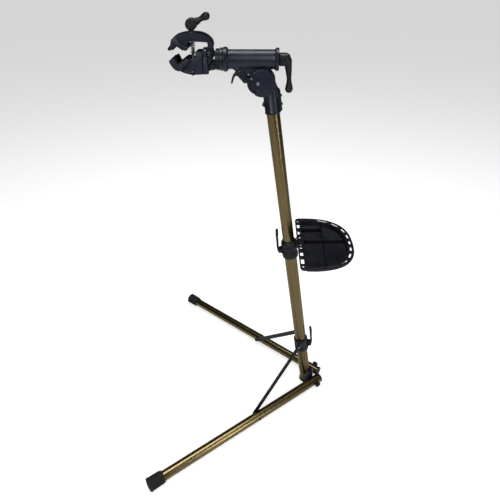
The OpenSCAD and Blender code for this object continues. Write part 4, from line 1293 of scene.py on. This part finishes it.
@dataclass
class HeadSocket(Maker):
    """The socket on the upper tube, with two plates for the head's hinge."""

    bottom: float = 1269.0
    height: float = 79.0
    outer_r: float = 25.5
    bore_r: float = 21.55
    disc_shift: Point = (12.8, -1.0)
    disc_r: float = 41.0
    plate_in: float = 19.9
    plate_out: float = 26.0
    track_r: float = 21.4
    track: Point = (126.0, 243.5)
    tongue_r: float = 35.4

    def build(self) -> None:
        """Makes the socket and its screws."""
        pivot = self.frame.in_mast("head_fold")
        self.socket(pivot)
        self.screws()
        self.pivot_bolt()

    def meet(self, pivot: Vector, angle: float) -> Point:
        """Returns where a ray from the pivot leaves the plate's disc."""
        ray = Vector((math.cos(math.radians(angle)), math.sin(math.radians(angle))))
        back = Vector((-self.disc_shift[0], -self.disc_shift[1]))
        along = back.dot(ray)
        reach = -along + math.sqrt(along ** 2 - back.length_squared + self.disc_r ** 2)
        return pivot.x + ray.x * reach, pivot.z + ray.y * reach

    def plate_outline(self, pivot: Vector) -> list[Point]:
        """Returns a plate's outline: the disc without the free track of the lock pin."""
        cx, cz = pivot.x + self.disc_shift[0], pivot.z + self.disc_shift[1]
        first, last = (self.meet(pivot, a) for a in self.track)
        start = math.degrees(math.atan2(first[1] - cz, first[0] - cx))
        end = math.degrees(math.atan2(last[1] - cz, last[0] - cx)) % 360 - 360
        return [*arc(cx, cz, self.disc_r, end, start, 56), *arc(pivot.x, pivot.z, self.track_r, *self.track, 22)]

    def tongue_room(self, pivot: Vector) -> bpy.types.Object:
        """Returns the cutter for the room in which the barrel's tongue swings."""
        return Bench.move(Bench.rod(self.tongue_r, 60, 0.1, 96), along_y(pivot.x, -30, pivot.z))

    def socket(self, pivot: Vector) -> None:
        """Moulds the socket, the plates, the bridge between them and the clamp rib."""
        r, h = self.outer_r, self.height
        profile = [(self.bore_r, 0), (r - 0.9, 0), (r, 1), (r, 7), (r - 0.7, 8), (r - 0.7, h - 4), (r - 2, h),
                   (self.bore_r, h)]
        barrel = Bench.move(Bench.turned(profile, 96), Matrix.Translation((0, 0, self.bottom)))
        slope = Bench.slab([(-40, 1329), (-26, 1329), (26, 1350), (26, 1400), (-40, 1400)], -40, 40)
        Bench.cut(barrel, [self.tongue_room(pivot), slope])
        Bench.soften(barrel, 0.6, 2, 50)
        plates = []
        for side in Side:
            low = self.plate_in if side is Side.FAR else -self.plate_out
            plate = Bench.slab(self.plate_outline(pivot), low, low + self.plate_out - self.plate_in)
            Bench.soften(plate, 1.1, 3)
            ring = Bench.turned([(13.5, 0), (17, 0), (16.5, 0.9), (14, 0.9)], 56)
            turn = Matrix.Rotation(math.pi if side is Side.NEAR else 0, 4, "Z")
            Bench.move(ring, Matrix.Translation((pivot.x, 0, pivot.z)) @ turn @ along_y(0, self.plate_out - 0.1, 0))
            plates += [plate, ring]
        bridge = Bench.slab([(-20, 1318), (r - 2, 1318), (r - 4, 1350), (14, 1376), (-25, 1350)], -21, 21)
        Bench.cut(bridge, [self.tongue_room(pivot)])
        rib = Bench.slab([(22, 1273), (28, 1273), (30.8, 1277), (30.8, 1335), (27, 1342), (22, 1342)], -7, 7, 1)
        Bench.cut(rib, [Bench.slab([(20, 1268), (35, 1268), (35, 1345), (20, 1345)], -0.8, 0.8)])
        Bench.soften(rib, 0.8, 2)
        lug = Bench.slab([(-28.4, 1293), (-22, 1291), (-22, 1309), (-28.4, 1306)], -6, 6, 1.5)
        Bench.soften(lug, 0.8, 2)
        Bench.join(barrel, [*plates, bridge, rib, lug])
        self.hand_over(barrel, "head socket", "upper_mast", self.palette.casting, ["head_socket"], self.frame.mast())

    def screws(self) -> None:
        """Makes the three button heads of the socket's screws."""
        heads = []
        for along, off, turn in ((1294, 30.8, 0), (1320, 30.8, 0), (1298.5, -28.4, math.pi)):
            profile = [(0, -4), (2.6, -4), (2.6, -0.2), (4.6, 0), (4.4, 1.6), (3.3, 2.8), (1.9, 3.2), (1.7, 1.6),
                       (0, 1.6)]
            head = Bench.turned(profile, 28, ring=False)
            spin = Matrix.Rotation(turn, 4, "Z")
            heads.append(Bench.move(head, Matrix.Translation((0, 0, along)) @ spin @ along_x(abs(off), 0, 0)))
        piece = Bench.join(heads[0], heads[1:])
        self.hand_over(piece, "socket screw heads", "upper_mast", self.palette.black_steel, ["socket_screws"],
                       self.frame.mast())

    def pivot_bolt(self) -> None:
        """Makes the hinge bolt: a domed head with a socket on the near side and a nut."""
        out = self.plate_out
        shank = Bench.rod(5, 2 * out + 6, 0.6)
        Bench.move(shank, along_y(0, -out - 3, 0))
        head = Bench.turned([(0, 1.2), (1.8, 1.2), (2.0, 2.4), (3.4, 2.2), (4.3, 1.4), (4.8, 0.2), (4.8, 0), (0, 0)],
                            40, ring=False)
        Bench.move(head, Matrix.Rotation(math.pi, 4, "Z") @ along_y(0, out, 0))
        nut = Bench.move(Bench.rod(8, 4.8, 0.7, 6), along_y(0, out, 0))
        Bench.soften(nut, 0.4, 1)
        Bench.join(shank, [head, nut])
        self.hand_over(shank, "hinge bolt", "upper_mast", self.palette.steel, ["head_pivot_bolt"],
                       self.frame.row(self.frame.spot("head_fold")))


@dataclass
class Barrel(Maker):
    """The barrel that the clamp head turns in, its web and the release trigger."""

    rear: float = -174.0
    front: float = -351.0
    body_r: float = 27.5
    collar_r: float = 34.4
    flange_r: float = 32.2
    bore_r: float = 20.0
    tongue_r: float = 33.8
    tongue_half: float = 19.5
    web_half: float = 13.8
    edge_angle: float = 131.9
    edge_start: Point = (-19.7, -16.3)
    lock_angle: float = 144.0
    lock_reach: float = 25.4

    def build(self) -> None:
        """Makes the housing, the trigger and the spring behind the lock pin."""
        self.pivot = self.frame.spot("head_fold")
        self.housing()
        self.trigger()
        self.spring()

    def edge(self) -> Matrix:
        """Returns the placing along the web's lower edge: x up the edge, z outwards."""
        return (Matrix.Translation((self.edge_start[0], 0, self.edge_start[1]))
                @ Matrix.Rotation(math.radians(-self.edge_angle), 4, "Y"))

    def housing(self) -> None:
        """Moulds the barrel with its collar and flange, the web and the tongue."""
        long = self.rear - self.front
        r, c, f = self.body_r, self.collar_r, self.flange_r
        profile = [(self.bore_r, 0), (c - 3.4, 0), (c - 2, 1.4), (c - 2, 6), (c - 3, 7), (c - 3, 8.6), (c - 1, 9.6),
                   (c, 11), (c, 20), (c - 1.4, 22), (c - 4, 23), (r + 0.9, 25), (r + 0.3, 27), (r, 30),
                   (r, long - 16), (r + 0.6, long - 12.5), (f - 1.4, long - 10), (f, long - 8.6), (f, long - 1.8),
                   (f - 1.6, long), (self.bore_r, long)]
        axis = self.frame.spot("head_spin").z - self.pivot.z
        barrel = Bench.turned(profile, 112)
        Bench.move(barrel, along_x(self.front - self.pivot.x, 0, axis))
        notch = Bench.prism([(c - 0.8, -1.5), (c + 2, -1.5), (c + 2, 1.5), (c - 0.8, 1.5)], 11, 0)
        notches = [Bench.copy(notch, along_x(self.front - self.pivot.x + 10.8, 0, axis)
                              @ Matrix.Rotation(math.tau * i / 12, 4, "Z")) for i in range(12)]
        bpy.data.objects.remove(notch)
        cutter = Bench.join(notches[0], notches[1:])
        Bench.cut(barrel, [cutter])
        tongue = Bench.move(Bench.rod(self.tongue_r, 2 * self.tongue_half, 1.0, 96),
                            along_y(0, -self.tongue_half, 0))
        bore = Bench.rod(5.08, 60, 0.1)
        Bench.cut(tongue, [Bench.move(bore, along_y(0, -30, 0)), self.trigger_slot(), self.pin_slot()])
        web = Bench.slab([(-84, 50), (-79, 43), self.edge_start, (0, -25), (26, -10), (33, 49)], -self.web_half,
                         self.web_half, 2)
        pockets = []
        for shape in ([(-70, 42), (-49, 18), (-41, 36), (-45, 42)], [(-36, 38), (-42, 12), (-34, 5), (-20, 30)]):
            for low in (-self.web_half - 1, self.web_half - 3):
                pockets.append(Bench.slab(shape, low, low + 4, 2))
        Bench.cut(web, [*pockets, self.trigger_slot(), self.pin_slot()])
        Bench.soften(web, 1.0, 3)
        keel = Bench.slab([(-100, 46), (-88, 39.5), (30, 39.5), (42, 46)], -6, 6, 1)
        Bench.soften(keel, 1.2, 3)
        Bench.join(barrel, [tongue, web, keel])
        self.hand_over(barrel, "barrel housing", "head", self.palette.casting, ["barrel_housing"],
                       self.frame.row(self.pivot))

    def trigger_slot(self) -> bpy.types.Object:
        """Returns the cutter for the slot that the trigger's arm runs in."""
        return Bench.move(Bench.slab([(15, -29), (56, -29), (56, 31), (15, 31)], -6.2, 6.2), self.edge())

    def pin_slot(self) -> bpy.types.Object:
        """Returns the cutter for the lock pin's oblong hole."""
        half = 4.0
        slot = Bench.slab([*arc(self.lock_reach + 11, 0, half, -90, 90), *arc(self.lock_reach, 0, half, 90, 270)],
                          -30, 30)
        return Bench.move(slot, Matrix.Rotation(math.radians(-self.lock_angle), 4, "Y"))

    def trigger(self) -> None:
        """Moulds the trigger with its finger hook and the arm round the lock pin."""
        outline = [(24, 1), (45, 0.9), (63, 1), (67, 4), (67.5, 10), (65.5, 20), (60, 30), (54, 37.8), (50.5, 38),
                   (49.6, 35.4), (54.5, 27), (58, 19), (58, 12), (51, 9.2), (38, 8.6), (25, 8)]
        blade = Bench.slab(flowing(outline, 4), -7, 7)
        Bench.soften(blade, 1.6, 3)
        ridges = [Bench.slab([(28 + 6 * i, 8), (30 + 6 * i, 8), (30 + 6 * i, 9.8), (28 + 6 * i, 9.8)], -6, 6, 0.4)
                  for i in range(4)]
        arm = Bench.slab([(19, -20.3), (25, -22), (36, 3), (27, 3)], -5.5, 5.5)
        Bench.soften(arm, 0.8, 2)
        Bench.join(blade, [arm, *ridges])
        Bench.move(blade, self.edge())
        boss = Bench.move(Bench.rod(6.8, 10.2, 0.8), along_y(self.lock_reach, -5.1, 0))
        Bench.cut(boss, [Bench.move(Bench.rod(3.5, 20, 0.1), along_y(self.lock_reach, -10, 0))])
        Bench.move(boss, Matrix.Rotation(math.radians(-self.lock_angle), 4, "Y"))
        Bench.join(blade, [boss])
        self.hand_over(blade, "release trigger", "release", self.palette.plastic, ["release_trigger"],
                       self.frame.row(self.pivot))

    def spring(self) -> None:
        """Winds the spring that pushes the lock pin home."""
        coil = Bench.coil(3.6, 0.6, 24.4, 7)
        turn = Matrix.Rotation(math.radians(-self.lock_angle), 4, "Y")
        place = self.frame.row(self.pivot) @ turn @ along_x(self.lock_reach + 7.3, 0, 0)
        self.hand_over(coil, "release coil", "head", self.palette.steel, ["release_spring"], place)


@dataclass
class Jaws(Maker):
    """The two V jaws with their rubber pads, the clamp rod's spring and washer."""

    body_half: float = 29.0
    vee_half: float = 44.0
    cheek_in: float = 20.0
    seat: float = 1488.0
    post: Vector = field(default_factory=lambda: Vector((-394, 25)))

    def build(self) -> None:
        """Makes both jaws and the parts between them."""
        self.hinge = self.frame.spot("jaw_open")
        self.rod = self.frame.spot("knob_spin")
        self.lower()
        self.upper()
        self.pads()
        self.hinge_pin()
        self.spring_and_washer()

    def vee(self, outline: Sequence[Point]) -> bpy.types.Object:
        """Makes a V block with rounded lips."""
        block = Bench.slab(outline, -self.vee_half, self.vee_half, 1.2)
        Bench.soften(block, 1.6, 3)
        return block

    def lower(self) -> None:
        """Moulds the lower jaw: hull, V block, hinge cheeks, neck and bolt posts."""
        outline = [(-474, 1392), (-450, 1413), (-442, 1419), (-423, 1419), (-421, 1438), (-405, 1439),
                   (-388, 1432), (-384.5, 1424), (-384.5, 1383), (-392, 1377), (-407, 1375.6), (-424, 1375),
                   (-440, 1375.4), (-458, 1379.4), (-470, 1385)]
        hull = Bench.slab(outline, -self.body_half, self.body_half, 1.0)
        gap = Bench.move(Bench.rod(14.5, 2 * self.cheek_in, 0.1, 64),
                         along_y(self.hinge.x, -self.cheek_in, self.hinge.z))
        relief = Bench.slab([(-398, 1416), (-378, 1412.5), (-360, 1415), (-360, 1450), (-398, 1450)],
                            -self.cheek_in, self.cheek_in)
        slot = Bench.slab([(-447, 1384), (-421, 1384), (-421, 1440), (-447, 1440)], -7, 7)
        pockets = []
        for left, right in ((-464, -449), (-446, -431), (-428, -413)):
            for low in (-self.body_half - 1, self.body_half - 1.6):
                pockets.append(Bench.slab([(left, 1384), (right, 1381), (right, 1408), (left + 4, 1408)], low,
                                          low + 2.6, 2))
        Bench.cut(hull, [gap, relief, slot, *pockets])
        Bench.soften(hull, 1.5, 3)
        vee = self.vee([(-484, 1423), (-474, 1402), (-460, 1411.6), (-447, 1420.4), (-441, 1421),
                        (-436.4, 1417), (-447, 1407), (-466, 1388), (-473, 1387.4), (-481, 1389.4),
                        (-489, 1396.5), (-495.4, 1406), (-499.3, 1414.6), (-496.5, 1418)])
        cheeks = []
        for low in (self.cheek_in, -self.body_half):
            cheek = Bench.slab([*arc(self.hinge.x, self.hinge.z, 12, -60, 150, 20), (-395, 1425), (-386, 1404)],
                               low, low + self.body_half - self.cheek_in)
            Bench.soften(cheek, 1.0, 2)
            cheeks.append(cheek)
        neck = Bench.slab([(-387, 1384), (-364.5, 1387), (-364.5, 1412), (-387, 1412)], -17, 17, 2)
        Bench.soften(neck, 1.4, 3)
        plate = Bench.turned([(10, 0), (16, 0), (17, 0.8), (17, 2), (16, 2.8), (10, 2.8)], 64)
        Bench.move(plate, along_x(-366.4, 0, self.frame.spot("head_spin").z))
        posts = []
        for side in (-1, 1):
            post = Bench.turned([(0, 0), (8.6, 0), (9.9, 1.6), (9.9, 42), (9.2, 43.4), (9.2, 62), (9.9, 63.2),
                                 (9.9, 65), (9, 66), (0, 66)], 56, ring=False)
            Bench.move(post, Matrix.Translation((self.post.x, side * self.post.y, 1377)))
            relief = Bench.rod(9.4, 30, 0.1, 48)
            Bench.cut(post, [Bench.move(relief, along_y(self.hinge.x, self.body_half if side > 0 else
                                                        -self.body_half - 30, self.hinge.z))])
            posts.append(post)
        Bench.join(hull, [vee, *cheeks, neck, plate, *posts])
        self.hand_over(hull, "lower jaw casting", "clamp_head", self.palette.casting, ["lower_jaw"])
        caps = []
        for side in (-1, 1):
            cap = Bench.turned([(0, 0), (8.2, 0), (8.2, 0.8), (5.4, 1.0), (4.8, 1.5), (2.4, 1.5), (2.2, 0.6),
                                (0, 0.6)], 40, ring=False)
            caps.append(Bench.move(cap, Matrix.Translation((self.post.x, side * self.post.y, 1442.9))))
        Bench.join(caps[0], caps[1:])
        self.hand_over(caps[0], "jaw post screws", "clamp_head", self.palette.steel)

    def upper(self) -> None:
        """Moulds the upper jaw: arch, V block, hinge arm and the lattice on its back."""
        top = [(-486, 1474), (-478, 1480.6), (-470, 1483.4), (-461, 1485.6), (-451, 1487.4), (-446, self.seat),
               (-418, self.seat), (-409, 1487), (-401, 1485), (-394, 1482.4), (-387, 1478.8), (-381, 1474.4),
               (-376, 1469.4), (-372.4, 1464), (-370.6, 1458), (-370.4, 1453), (-371, 1448)]
        under = [(-386, 1447), (-383.5, 1457), (-385, 1463.5), (-404, 1465), (-423, 1465.4), (-431, 1465.8),
                 (-435.7, 1465.8), (-440.4, 1462.4), (-443.5, 1456), (-448, 1453), (-458, 1456.5), (-470, 1469)]
        arch = Bench.slab([*top, *under], -self.body_half, self.body_half)
        hole = Bench.move(Bench.rod(4.08, 120, 0.1), Matrix.Translation((self.rod.x, 0, 1400)))
        pockets = []
        for low in (-self.body_half - 1, self.body_half - 1.6):
            pockets.append(Bench.slab([(-466, 1476), (-450, 1480.6), (-430, 1482), (-408, 1481.2), (-392, 1476),
                                       (-380, 1465), (-386, 1468), (-406, 1470), (-436, 1471), (-446, 1464),
                                       (-456, 1464)], low + 0.6, low + 2.6, 1.5))
        Bench.cut(arch, [hole, *pockets, *self.lattice()])
        Bench.soften(arch, 1.4, 3)
        vee = self.vee([(-490.6, 1458.3), (-496.5, 1452.8), (-499, 1449.6), (-498.8, 1446.6), (-496.6, 1444),
                        (-493.3, 1443.2), (-488.6, 1445.2), (-474.4, 1459.5), (-466.7, 1453.3), (-454, 1445.2),
                        (-450.6, 1443.6), (-447, 1443.2), (-443.6, 1444.6), (-440.6, 1447.6), (-437.6, 1453),
                        (-438.5, 1457), (-443.5, 1453.8), (-448, 1454), (-458.4, 1461), (-470.3, 1475),
                        (-478.5, 1479.3), (-486, 1473.6), (-488.5, 1467.3)])
        arm = Bench.slab([(-384, 1466), (-373, 1466), (-370.5, 1440), (-367.6, 1430), (-368, 1424), (-374, 1416.5),
                          (-384, 1416.5), (-390, 1423), (-391, 1430), (-389, 1440), (-384, 1451)],
                         -self.cheek_in + 0.6, self.cheek_in - 0.6)
        bore = Bench.rod(5.08, 60, 0.1)
        Bench.cut(arm, [Bench.move(bore, along_y(self.hinge.x, -30, self.hinge.z))])
        Bench.soften(arm, 1.2, 2)
        seat = Bench.turned([(4.1, 0), (15, 0), (14.4, 0.6), (4.1, 0.6)], 48)
        Bench.move(seat, Matrix.Translation((self.rod.x, 0, self.seat - 0.5)))
        Bench.join(arch, [vee, arm, seat])
        self.hand_over(arch, "upper jaw casting", "upper_clamp_jaw", self.palette.casting, ["upper_jaw"])

    def lattice(self) -> list[bpy.types.Object]:
        """Returns cutters for two fields of crossed ribs on the jaw's back."""
        made = []
        for left, right in ((-475, -450), (-414, -389)):
            middle = Vector(((left + right) / 2, 0))
            corners = [Vector((left, -22)), Vector((right, -22)), Vector((right, 22)), Vector((left, 22))]
            for i in range(4):
                a, b = corners[i], corners[(i + 1) % 4]
                centre = (a + b + middle) / 3
                shape = [tuple(centre + (p - centre) * 0.76) for p in (a, b, middle)]
                floor = 1474 if left < self.rod.x else 1475
                made.append(Bench.move(Bench.prism(shape, 20), Matrix.Translation((0, 0, floor))))
        return made

    def pads(self) -> None:
        """Moulds the four rubber pads with ribs across the V."""
        half = self.vee_half - 3
        lower = self.pad_pair((((-484.7, 1422.4), (-481.2, 1423.6), (-472.6, 1405.4), (-475.3, 1402.8)),
                               ((-473.6, 1401.6), (-475.2, 1404.4), (-449.2, 1422.2), (-447.4, 1419.6))), half)
        self.hand_over(lower, "lower pads", "clamp_head", self.palette.rubber, ["lower_jaw_pads"])
        upper = self.pad_pair((((-474.8, 1460), (-473.6, 1456.4), (-485.8, 1444.0), (-488.5, 1446.2)),
                               ((-454.4, 1446.2), (-456, 1443.4), (-475.4, 1456.4), (-474.6, 1460))), half)
        self.hand_over(upper, "upper pads", "upper_clamp_jaw", self.palette.rubber, ["upper_jaw_pads"])

    def pad_pair(self, outlines: Sequence[Sequence[Point]], half: float) -> bpy.types.Object:
        """Makes two ribbed pads.

        Args:
            outlines: The section of each pad: back, front, front and back corner.
            half: Half of its width.

        Returns:
            Both pads as one mesh.
        """
        made = []
        for outline in outlines:
            pad = Bench.slab(outline, -half, half)
            Bench.soften(pad, 0.4, 2)
            back, start, end, _ = (Vector(p) for p in outline)
            line = (end - start).normalized()
            out = (start - back).normalized()
            start, end = start + line * 1.5, end - line * 2.5
            section = [tuple(start - out), tuple(end - out), tuple(end + out * 0.9), tuple(start + out * 0.9)]
            rib = Bench.slab(section, -1.1, 1.1)
            made += [pad, *(Bench.copy(rib, Matrix.Translation((0, y, 0))) for y in range(-36, 37, 6))]
            bpy.data.objects.remove(rib)
        return Bench.join(made[0], made[1:])

    def hinge_pin(self) -> None:
        """Makes the jaw's hinge pin with a domed head and a nut."""
        half = self.body_half
        shank = Bench.move(Bench.rod(5, 2 * half + 18, 0.8), along_y(0, -half - 9, 0))
        washer = Bench.move(Bench.rod(9, 1.6, 0.3), along_y(0, -half - 1.6, 0))
        head = Bench.turned([(0, 0), (7.6, 0), (7.8, 3), (6.6, 5.2), (3.6, 6), (3.2, 3), (0, 3)], 32, ring=False)
        Bench.move(head, Matrix.Rotation(math.pi, 4, "Z") @ along_y(0, half + 1.6, 0))
        nut = Bench.move(Bench.rod(8.6, 7, 0.8, 6), along_y(0, half, 0))
        Bench.soften(nut, 0.5, 1)
        Bench.join(shank, [washer, head, nut])
        self.hand_over(shank, "jaw pin", "clamp_head", self.palette.black_steel, ["jaw_hinge_pin"],
                       self.frame.row(self.hinge))

    def spring_and_washer(self) -> None:
        """Winds the spring that parts the jaws and turns the washer under the cam."""
        coil = Bench.coil(6.6, 1.0, 30, 6)
        self.hand_over(coil, "jaw coil", "clamp_knob", self.palette.steel, ["rod_spring"],
                       self.frame.row(Vector((self.rod.x, 0, 1430))))
        washer = Bench.turned([(4.1, 0), (12.9, 0), (13.4, 0.5), (13.4, 1.4), (11, 2.9), (4.1, 2.9)], 56)
        self.hand_over(washer, "cam washer", "clamp_knob", self.palette.steel, ["rod_washer"],
                       self.frame.row(Vector((self.rod.x, 0, self.seat + 0.3))))


@dataclass
class Grips(Maker):
    """The cam lever over the jaws and the crank behind the barrel."""

    cam_r: float = 16.4
    cam_half: float = 15.0
    ball: Point = (44.5, 20.5)
    hub_r: float = 19.0
    hub_span: Point = (-173.4, -141.0)

    def build(self) -> None:
        """Makes both grips."""
        self.cam_lever()
        self.crank()

    def swept(self, stations: Sequence[tuple[float, float, float, float, float]]) -> bpy.types.Object:
        """Makes a rounded bar through stations.

        Args:
            stations: Each x, y, z of a centre and the half width in X and in Y.

        Returns:
            The bar as overlapping rounded lengths, ready to be blended.
        """
        lengths = []
        for first, second in zip(stations, stations[1:]):
            for i in range(6):
                part = i / 6
                x, y, z, wide, deep = (a + (b - a) * part for a, b in zip(first, second))
                bead = Bench.turned([(0, -1), (0.7, -0.72), (1, 0), (0.7, 0.72), (0, 1)], 20, ring=False)
                size = Matrix.Diagonal((wide, deep, wide, 1))
                lengths.append(Bench.move(bead, Matrix.Translation((x, y, z)) @ size))
        return Bench.join(lengths[0], lengths[1:])

    def cam_lever(self) -> None:
        """Moulds the forked cam, its neck and the round grip."""
        x, z = self.ball
        bar = self.swept([(5, 0, 3, 12.5, 12), (15, 0, 6.5, 10.5, 10), (25, 0, 11.5, 7.6, 8.4), (32, 0, 15, 7.4, 8),
                          (38, 0, 17.8, 9.4, 10), (x, 0, z, 11.6, 11.8), (x + 0.5, 0, z + 0.2, 11.4, 11.6)])
        hub = Bench.move(Bench.rod(self.cam_r, 2 * self.cam_half, 2.2, 64), along_y(0, -self.cam_half, 0))
        Bench.join(bar, [hub])
        Bench.blend(bar, 0.9, 6)
        dish = Bench.rod(8.5, 3, 0.8, 48)
        fork = Bench.slab([(-30, -30), (10, -30), (10, 30), (-30, 30)], -6, 6)
        dishes = [Bench.copy(dish, along_y(0, y, 0)) for y in (-self.cam_half - 1.8, self.cam_half - 1.2)]
        bpy.data.objects.remove(dish)
        Bench.cut(bar, [fork, *dishes])
        self.hand_over(bar, "cam grip", "cam", self.palette.plastic, ["cam_lever"],
                       self.frame.row(self.frame.spot("cam_turn")), 40)

    def crank(self) -> None:
        """Moulds the crank: a hub on the spindle and a grip that hangs from it."""
        low, high = self.hub_span
        spot = self.frame.spot("crank_spin")
        profile = [(0, 0), (self.hub_r - 2, 0), (self.hub_r, 2), (self.hub_r, 20), (self.hub_r - 2, 26),
                   (self.hub_r - 6, high - low), (0, high - low)]
        hub = Bench.move(Bench.turned(profile, 64, ring=False), along_x(low - spot.x, 0, 0))
        near, far = 9.0, 14.5
        bar = self.swept([(near - 1, 0, -2, 12, 14), (near + 1, 0, -22, 11, 12.5), (near + 3, 0, -40, 9, 10.5),
                          (near + 4.5, 0, -54, 7.2, 9), (near + 5, 0, -64, 8.2, 9.4), (far, 0, -76, 10.8, 11.4),
                          (far, 0, -84, 12.8, 13), (far, 0, -85, 12.8, 12.8)])
        Bench.join(hub, [bar])
        Bench.blend(hub, 1.0, 6)
        pocket = Bench.rod(6.1, 26, 0.1, 40)
        waist = Bench.rod(7, 60, 0.1, 40)
        Bench.cut(hub, [Bench.move(pocket, along_x(low - spot.x - 10, 0, 0)),
                        Bench.move(waist, along_y(far, -30, -104))])
        self.hand_over(hub, "crank grip", "crank", self.palette.plastic, ["crank_handle"], self.frame.row(spot), 40)


# ------------------------------------------------------------------ studio


@dataclass
class Studio:
    """Floor, soft lights and the camera."""

    eye: tuple[float, float, float] = (-0.21713, -1.39937, 1.64639)
    right: tuple[float, float, float] = (0.9995, 0.0311, -0.0028)
    up: tuple[float, float, float] = (-0.0147, 0.5485, 0.8360)
    lens: float = 31.05
    floor_size: float = 60.0
    floor_glow: float = 0.62
    lamps: Sequence[tuple] = field(default_factory=lambda: (
        ("key", (-1.6, -3.4, 3.0), (-0.2, 0.0, 0.9), (1.2, 2.2), 70.0),
        ("overhead", (0.0, 0.4, 4.4), (-0.1, 0.0, 0.4), (3.0, 1.6), 90.0),
        ("right strip", (2.4, -2.2, 1.6), (-0.1, 0.0, 0.9), (0.3, 2.6), 26.0),
    ))

    def build(self) -> None:
        """Sets up the floor, the lamps, the sky and the camera."""
        self.floor()
        for name, spot, aim, size, power in self.lamps:
            self.lamp(name, Vector(spot), Vector(aim), size, power)
        self.sky()
        self.camera()
        bpy.context.scene.view_settings.view_transform = "Standard"

    def floor(self) -> None:
        """Lays a plain pale floor."""
        Bench.clear()
        bpy.ops.mesh.primitive_plane_add(size=self.floor_size)
        floor = bpy.context.object
        floor.name = "studio floor"
        made = bpy.data.materials.new("pale floor")
        made.use_nodes = True
        shader = made.node_tree.nodes["Principled BSDF"]
        shader.inputs["Base Color"].default_value = (0.95, 0.95, 0.95, 1)
        shader.inputs["Roughness"].default_value = 0.9
        shader.inputs["Specular IOR Level"].default_value = 0.1
        shader.inputs["Emission Color"].default_value = (1, 1, 1, 1)
        path = made.node_tree.nodes.new("ShaderNodeLightPath")
        glow = Effects.math(made.node_tree, "MULTIPLY", path.outputs["Is Camera Ray"], self.floor_glow)
        made.node_tree.links.new(glow, shader.inputs["Emission Strength"])
        floor.data.materials.append(made)

    def lamp(self, name: str, spot: Vector, aim: Vector, size: Point, power: float) -> None:
        """Hangs a soft rectangular lamp that points at a place."""
        data = bpy.data.lights.new(name, "AREA")
        data.shape = "RECTANGLE"
        data.size, data.size_y = size
        data.energy = power
        lamp = bpy.data.objects.new(name, data)
        bpy.context.scene.collection.objects.link(lamp)
        lamp.location = spot
        lamp.rotation_euler = (aim - spot).to_track_quat("-Z", "Y").to_euler()

    def sky(self) -> None:
        """Lights the room: white for the camera, bright in front and above, dim at the sides and behind."""
        world = bpy.data.worlds.new("studio sky")
        world.use_nodes = True
        tree = world.node_tree
        shade = tree.nodes["Background"]
        where = tree.nodes.new("ShaderNodeTexCoord")
        split = tree.nodes.new("ShaderNodeSeparateXYZ")
        tree.links.new(where.outputs["Generated"], split.inputs["Vector"])
        front = Effects.range(tree, Effects.math(tree, "MULTIPLY", split.outputs["Y"], -1.0), -0.15, 0.95)
        above = Effects.range(tree, split.outputs["Z"], 0.15, 1.0)
        glow = Effects.math(tree, "ADD", Effects.math(tree, "MULTIPLY", front, 0.8),
                            Effects.math(tree, "MULTIPLY", above, 0.9))
        glow = Effects.math(tree, "ADD", glow, 0.22)
        path = tree.nodes.new("ShaderNodeLightPath")
        seen = path.outputs["Is Camera Ray"]
        glow = Effects.math(tree, "MAXIMUM", glow, Effects.math(tree, "MULTIPLY", seen, 1.05))
        tree.links.new(glow, shade.inputs["Strength"])
        bpy.context.scene.world = world

    def camera(self) -> None:
        """Sets the camera at its place, looking slightly down at the stand."""
        data = bpy.data.cameras.new("camera")
        data.lens = self.lens
        data.sensor_width = 36.0
        camera = bpy.data.objects.new("camera", data)
        bpy.context.scene.collection.objects.link(camera)
        right, up = Vector(self.right).normalized(), Vector(self.up)
        back = right.cross(up).normalized()
        up = back.cross(right)
        turn = Matrix((right, up, back)).transposed().to_4x4()
        camera.matrix_world = Matrix.Translation(self.eye) @ turn
        bpy.context.scene.camera = camera


# ------------------------------------------------------------------ making


def tube_turns(frame: StandFrame) -> dict[str, tuple[float, float, float]]:
    """Returns the pattern turns that lay the drawn lines along each kind of tube."""
    turns = {}
    axes = {"mast": frame.mast().to_3x3() @ Vector((0, 0, 1))}
    for side in Side:
        axes[f"{side.word} leg"] = frame.leg(side).to_3x3() @ Vector((1, 0, 0))
    for name, axis in axes.items():
        turns[name] = tuple(axis.normalized().rotation_difference(Vector((0, 0, 1))).to_euler())
    return turns


BLACKENED_PINS = ("cam_pin", "jaw_hinge_pin")


def dress_cad_nodes(nodes: dict[str, bpy.types.Object], record: dict, palette: Palette) -> None:
    """Gives every carried-over CAD node the finish of its slot, and the two clamp pins a blackened one.

    Args:
        nodes: The CAD nodes by name.
        record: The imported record.
        palette: The finishes.
    """
    for part in record["subparts"]:
        node = nodes[part["node"]]
        node.data.materials.clear()
        dark = part["node"] in BLACKENED_PINS
        finish = palette.black_steel if dark else palette.for_slot(part["material_slot"])
        node.data.materials.append(finish.material())


def main() -> None:
    """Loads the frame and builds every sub-assembly."""
    logging.basicConfig(level=logging.INFO, format="%(message)s")
    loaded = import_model()
    frame = StandFrame({joint["name"]: joint for joint in loaded["joints"]})
    turns = tube_turns(frame)
    palette = Palette(drawn_tube("anodised mast", turns["mast"]),
                      drawn_tube("anodised near leg", turns["near leg"]),
                      drawn_tube("anodised far leg", turns["far leg"]))
    dress_cad_nodes(loaded["nodes"], loaded["record"], palette)
    for maker in (Mast, BaseBracket, Collars, Legs, Tray, HeadSocket, Barrel, Jaws, Grips):
        maker(frame, palette).build()
        log.info("%s finished", maker.__name__)
    Studio().build()


if __name__ == "__main__":
    main()
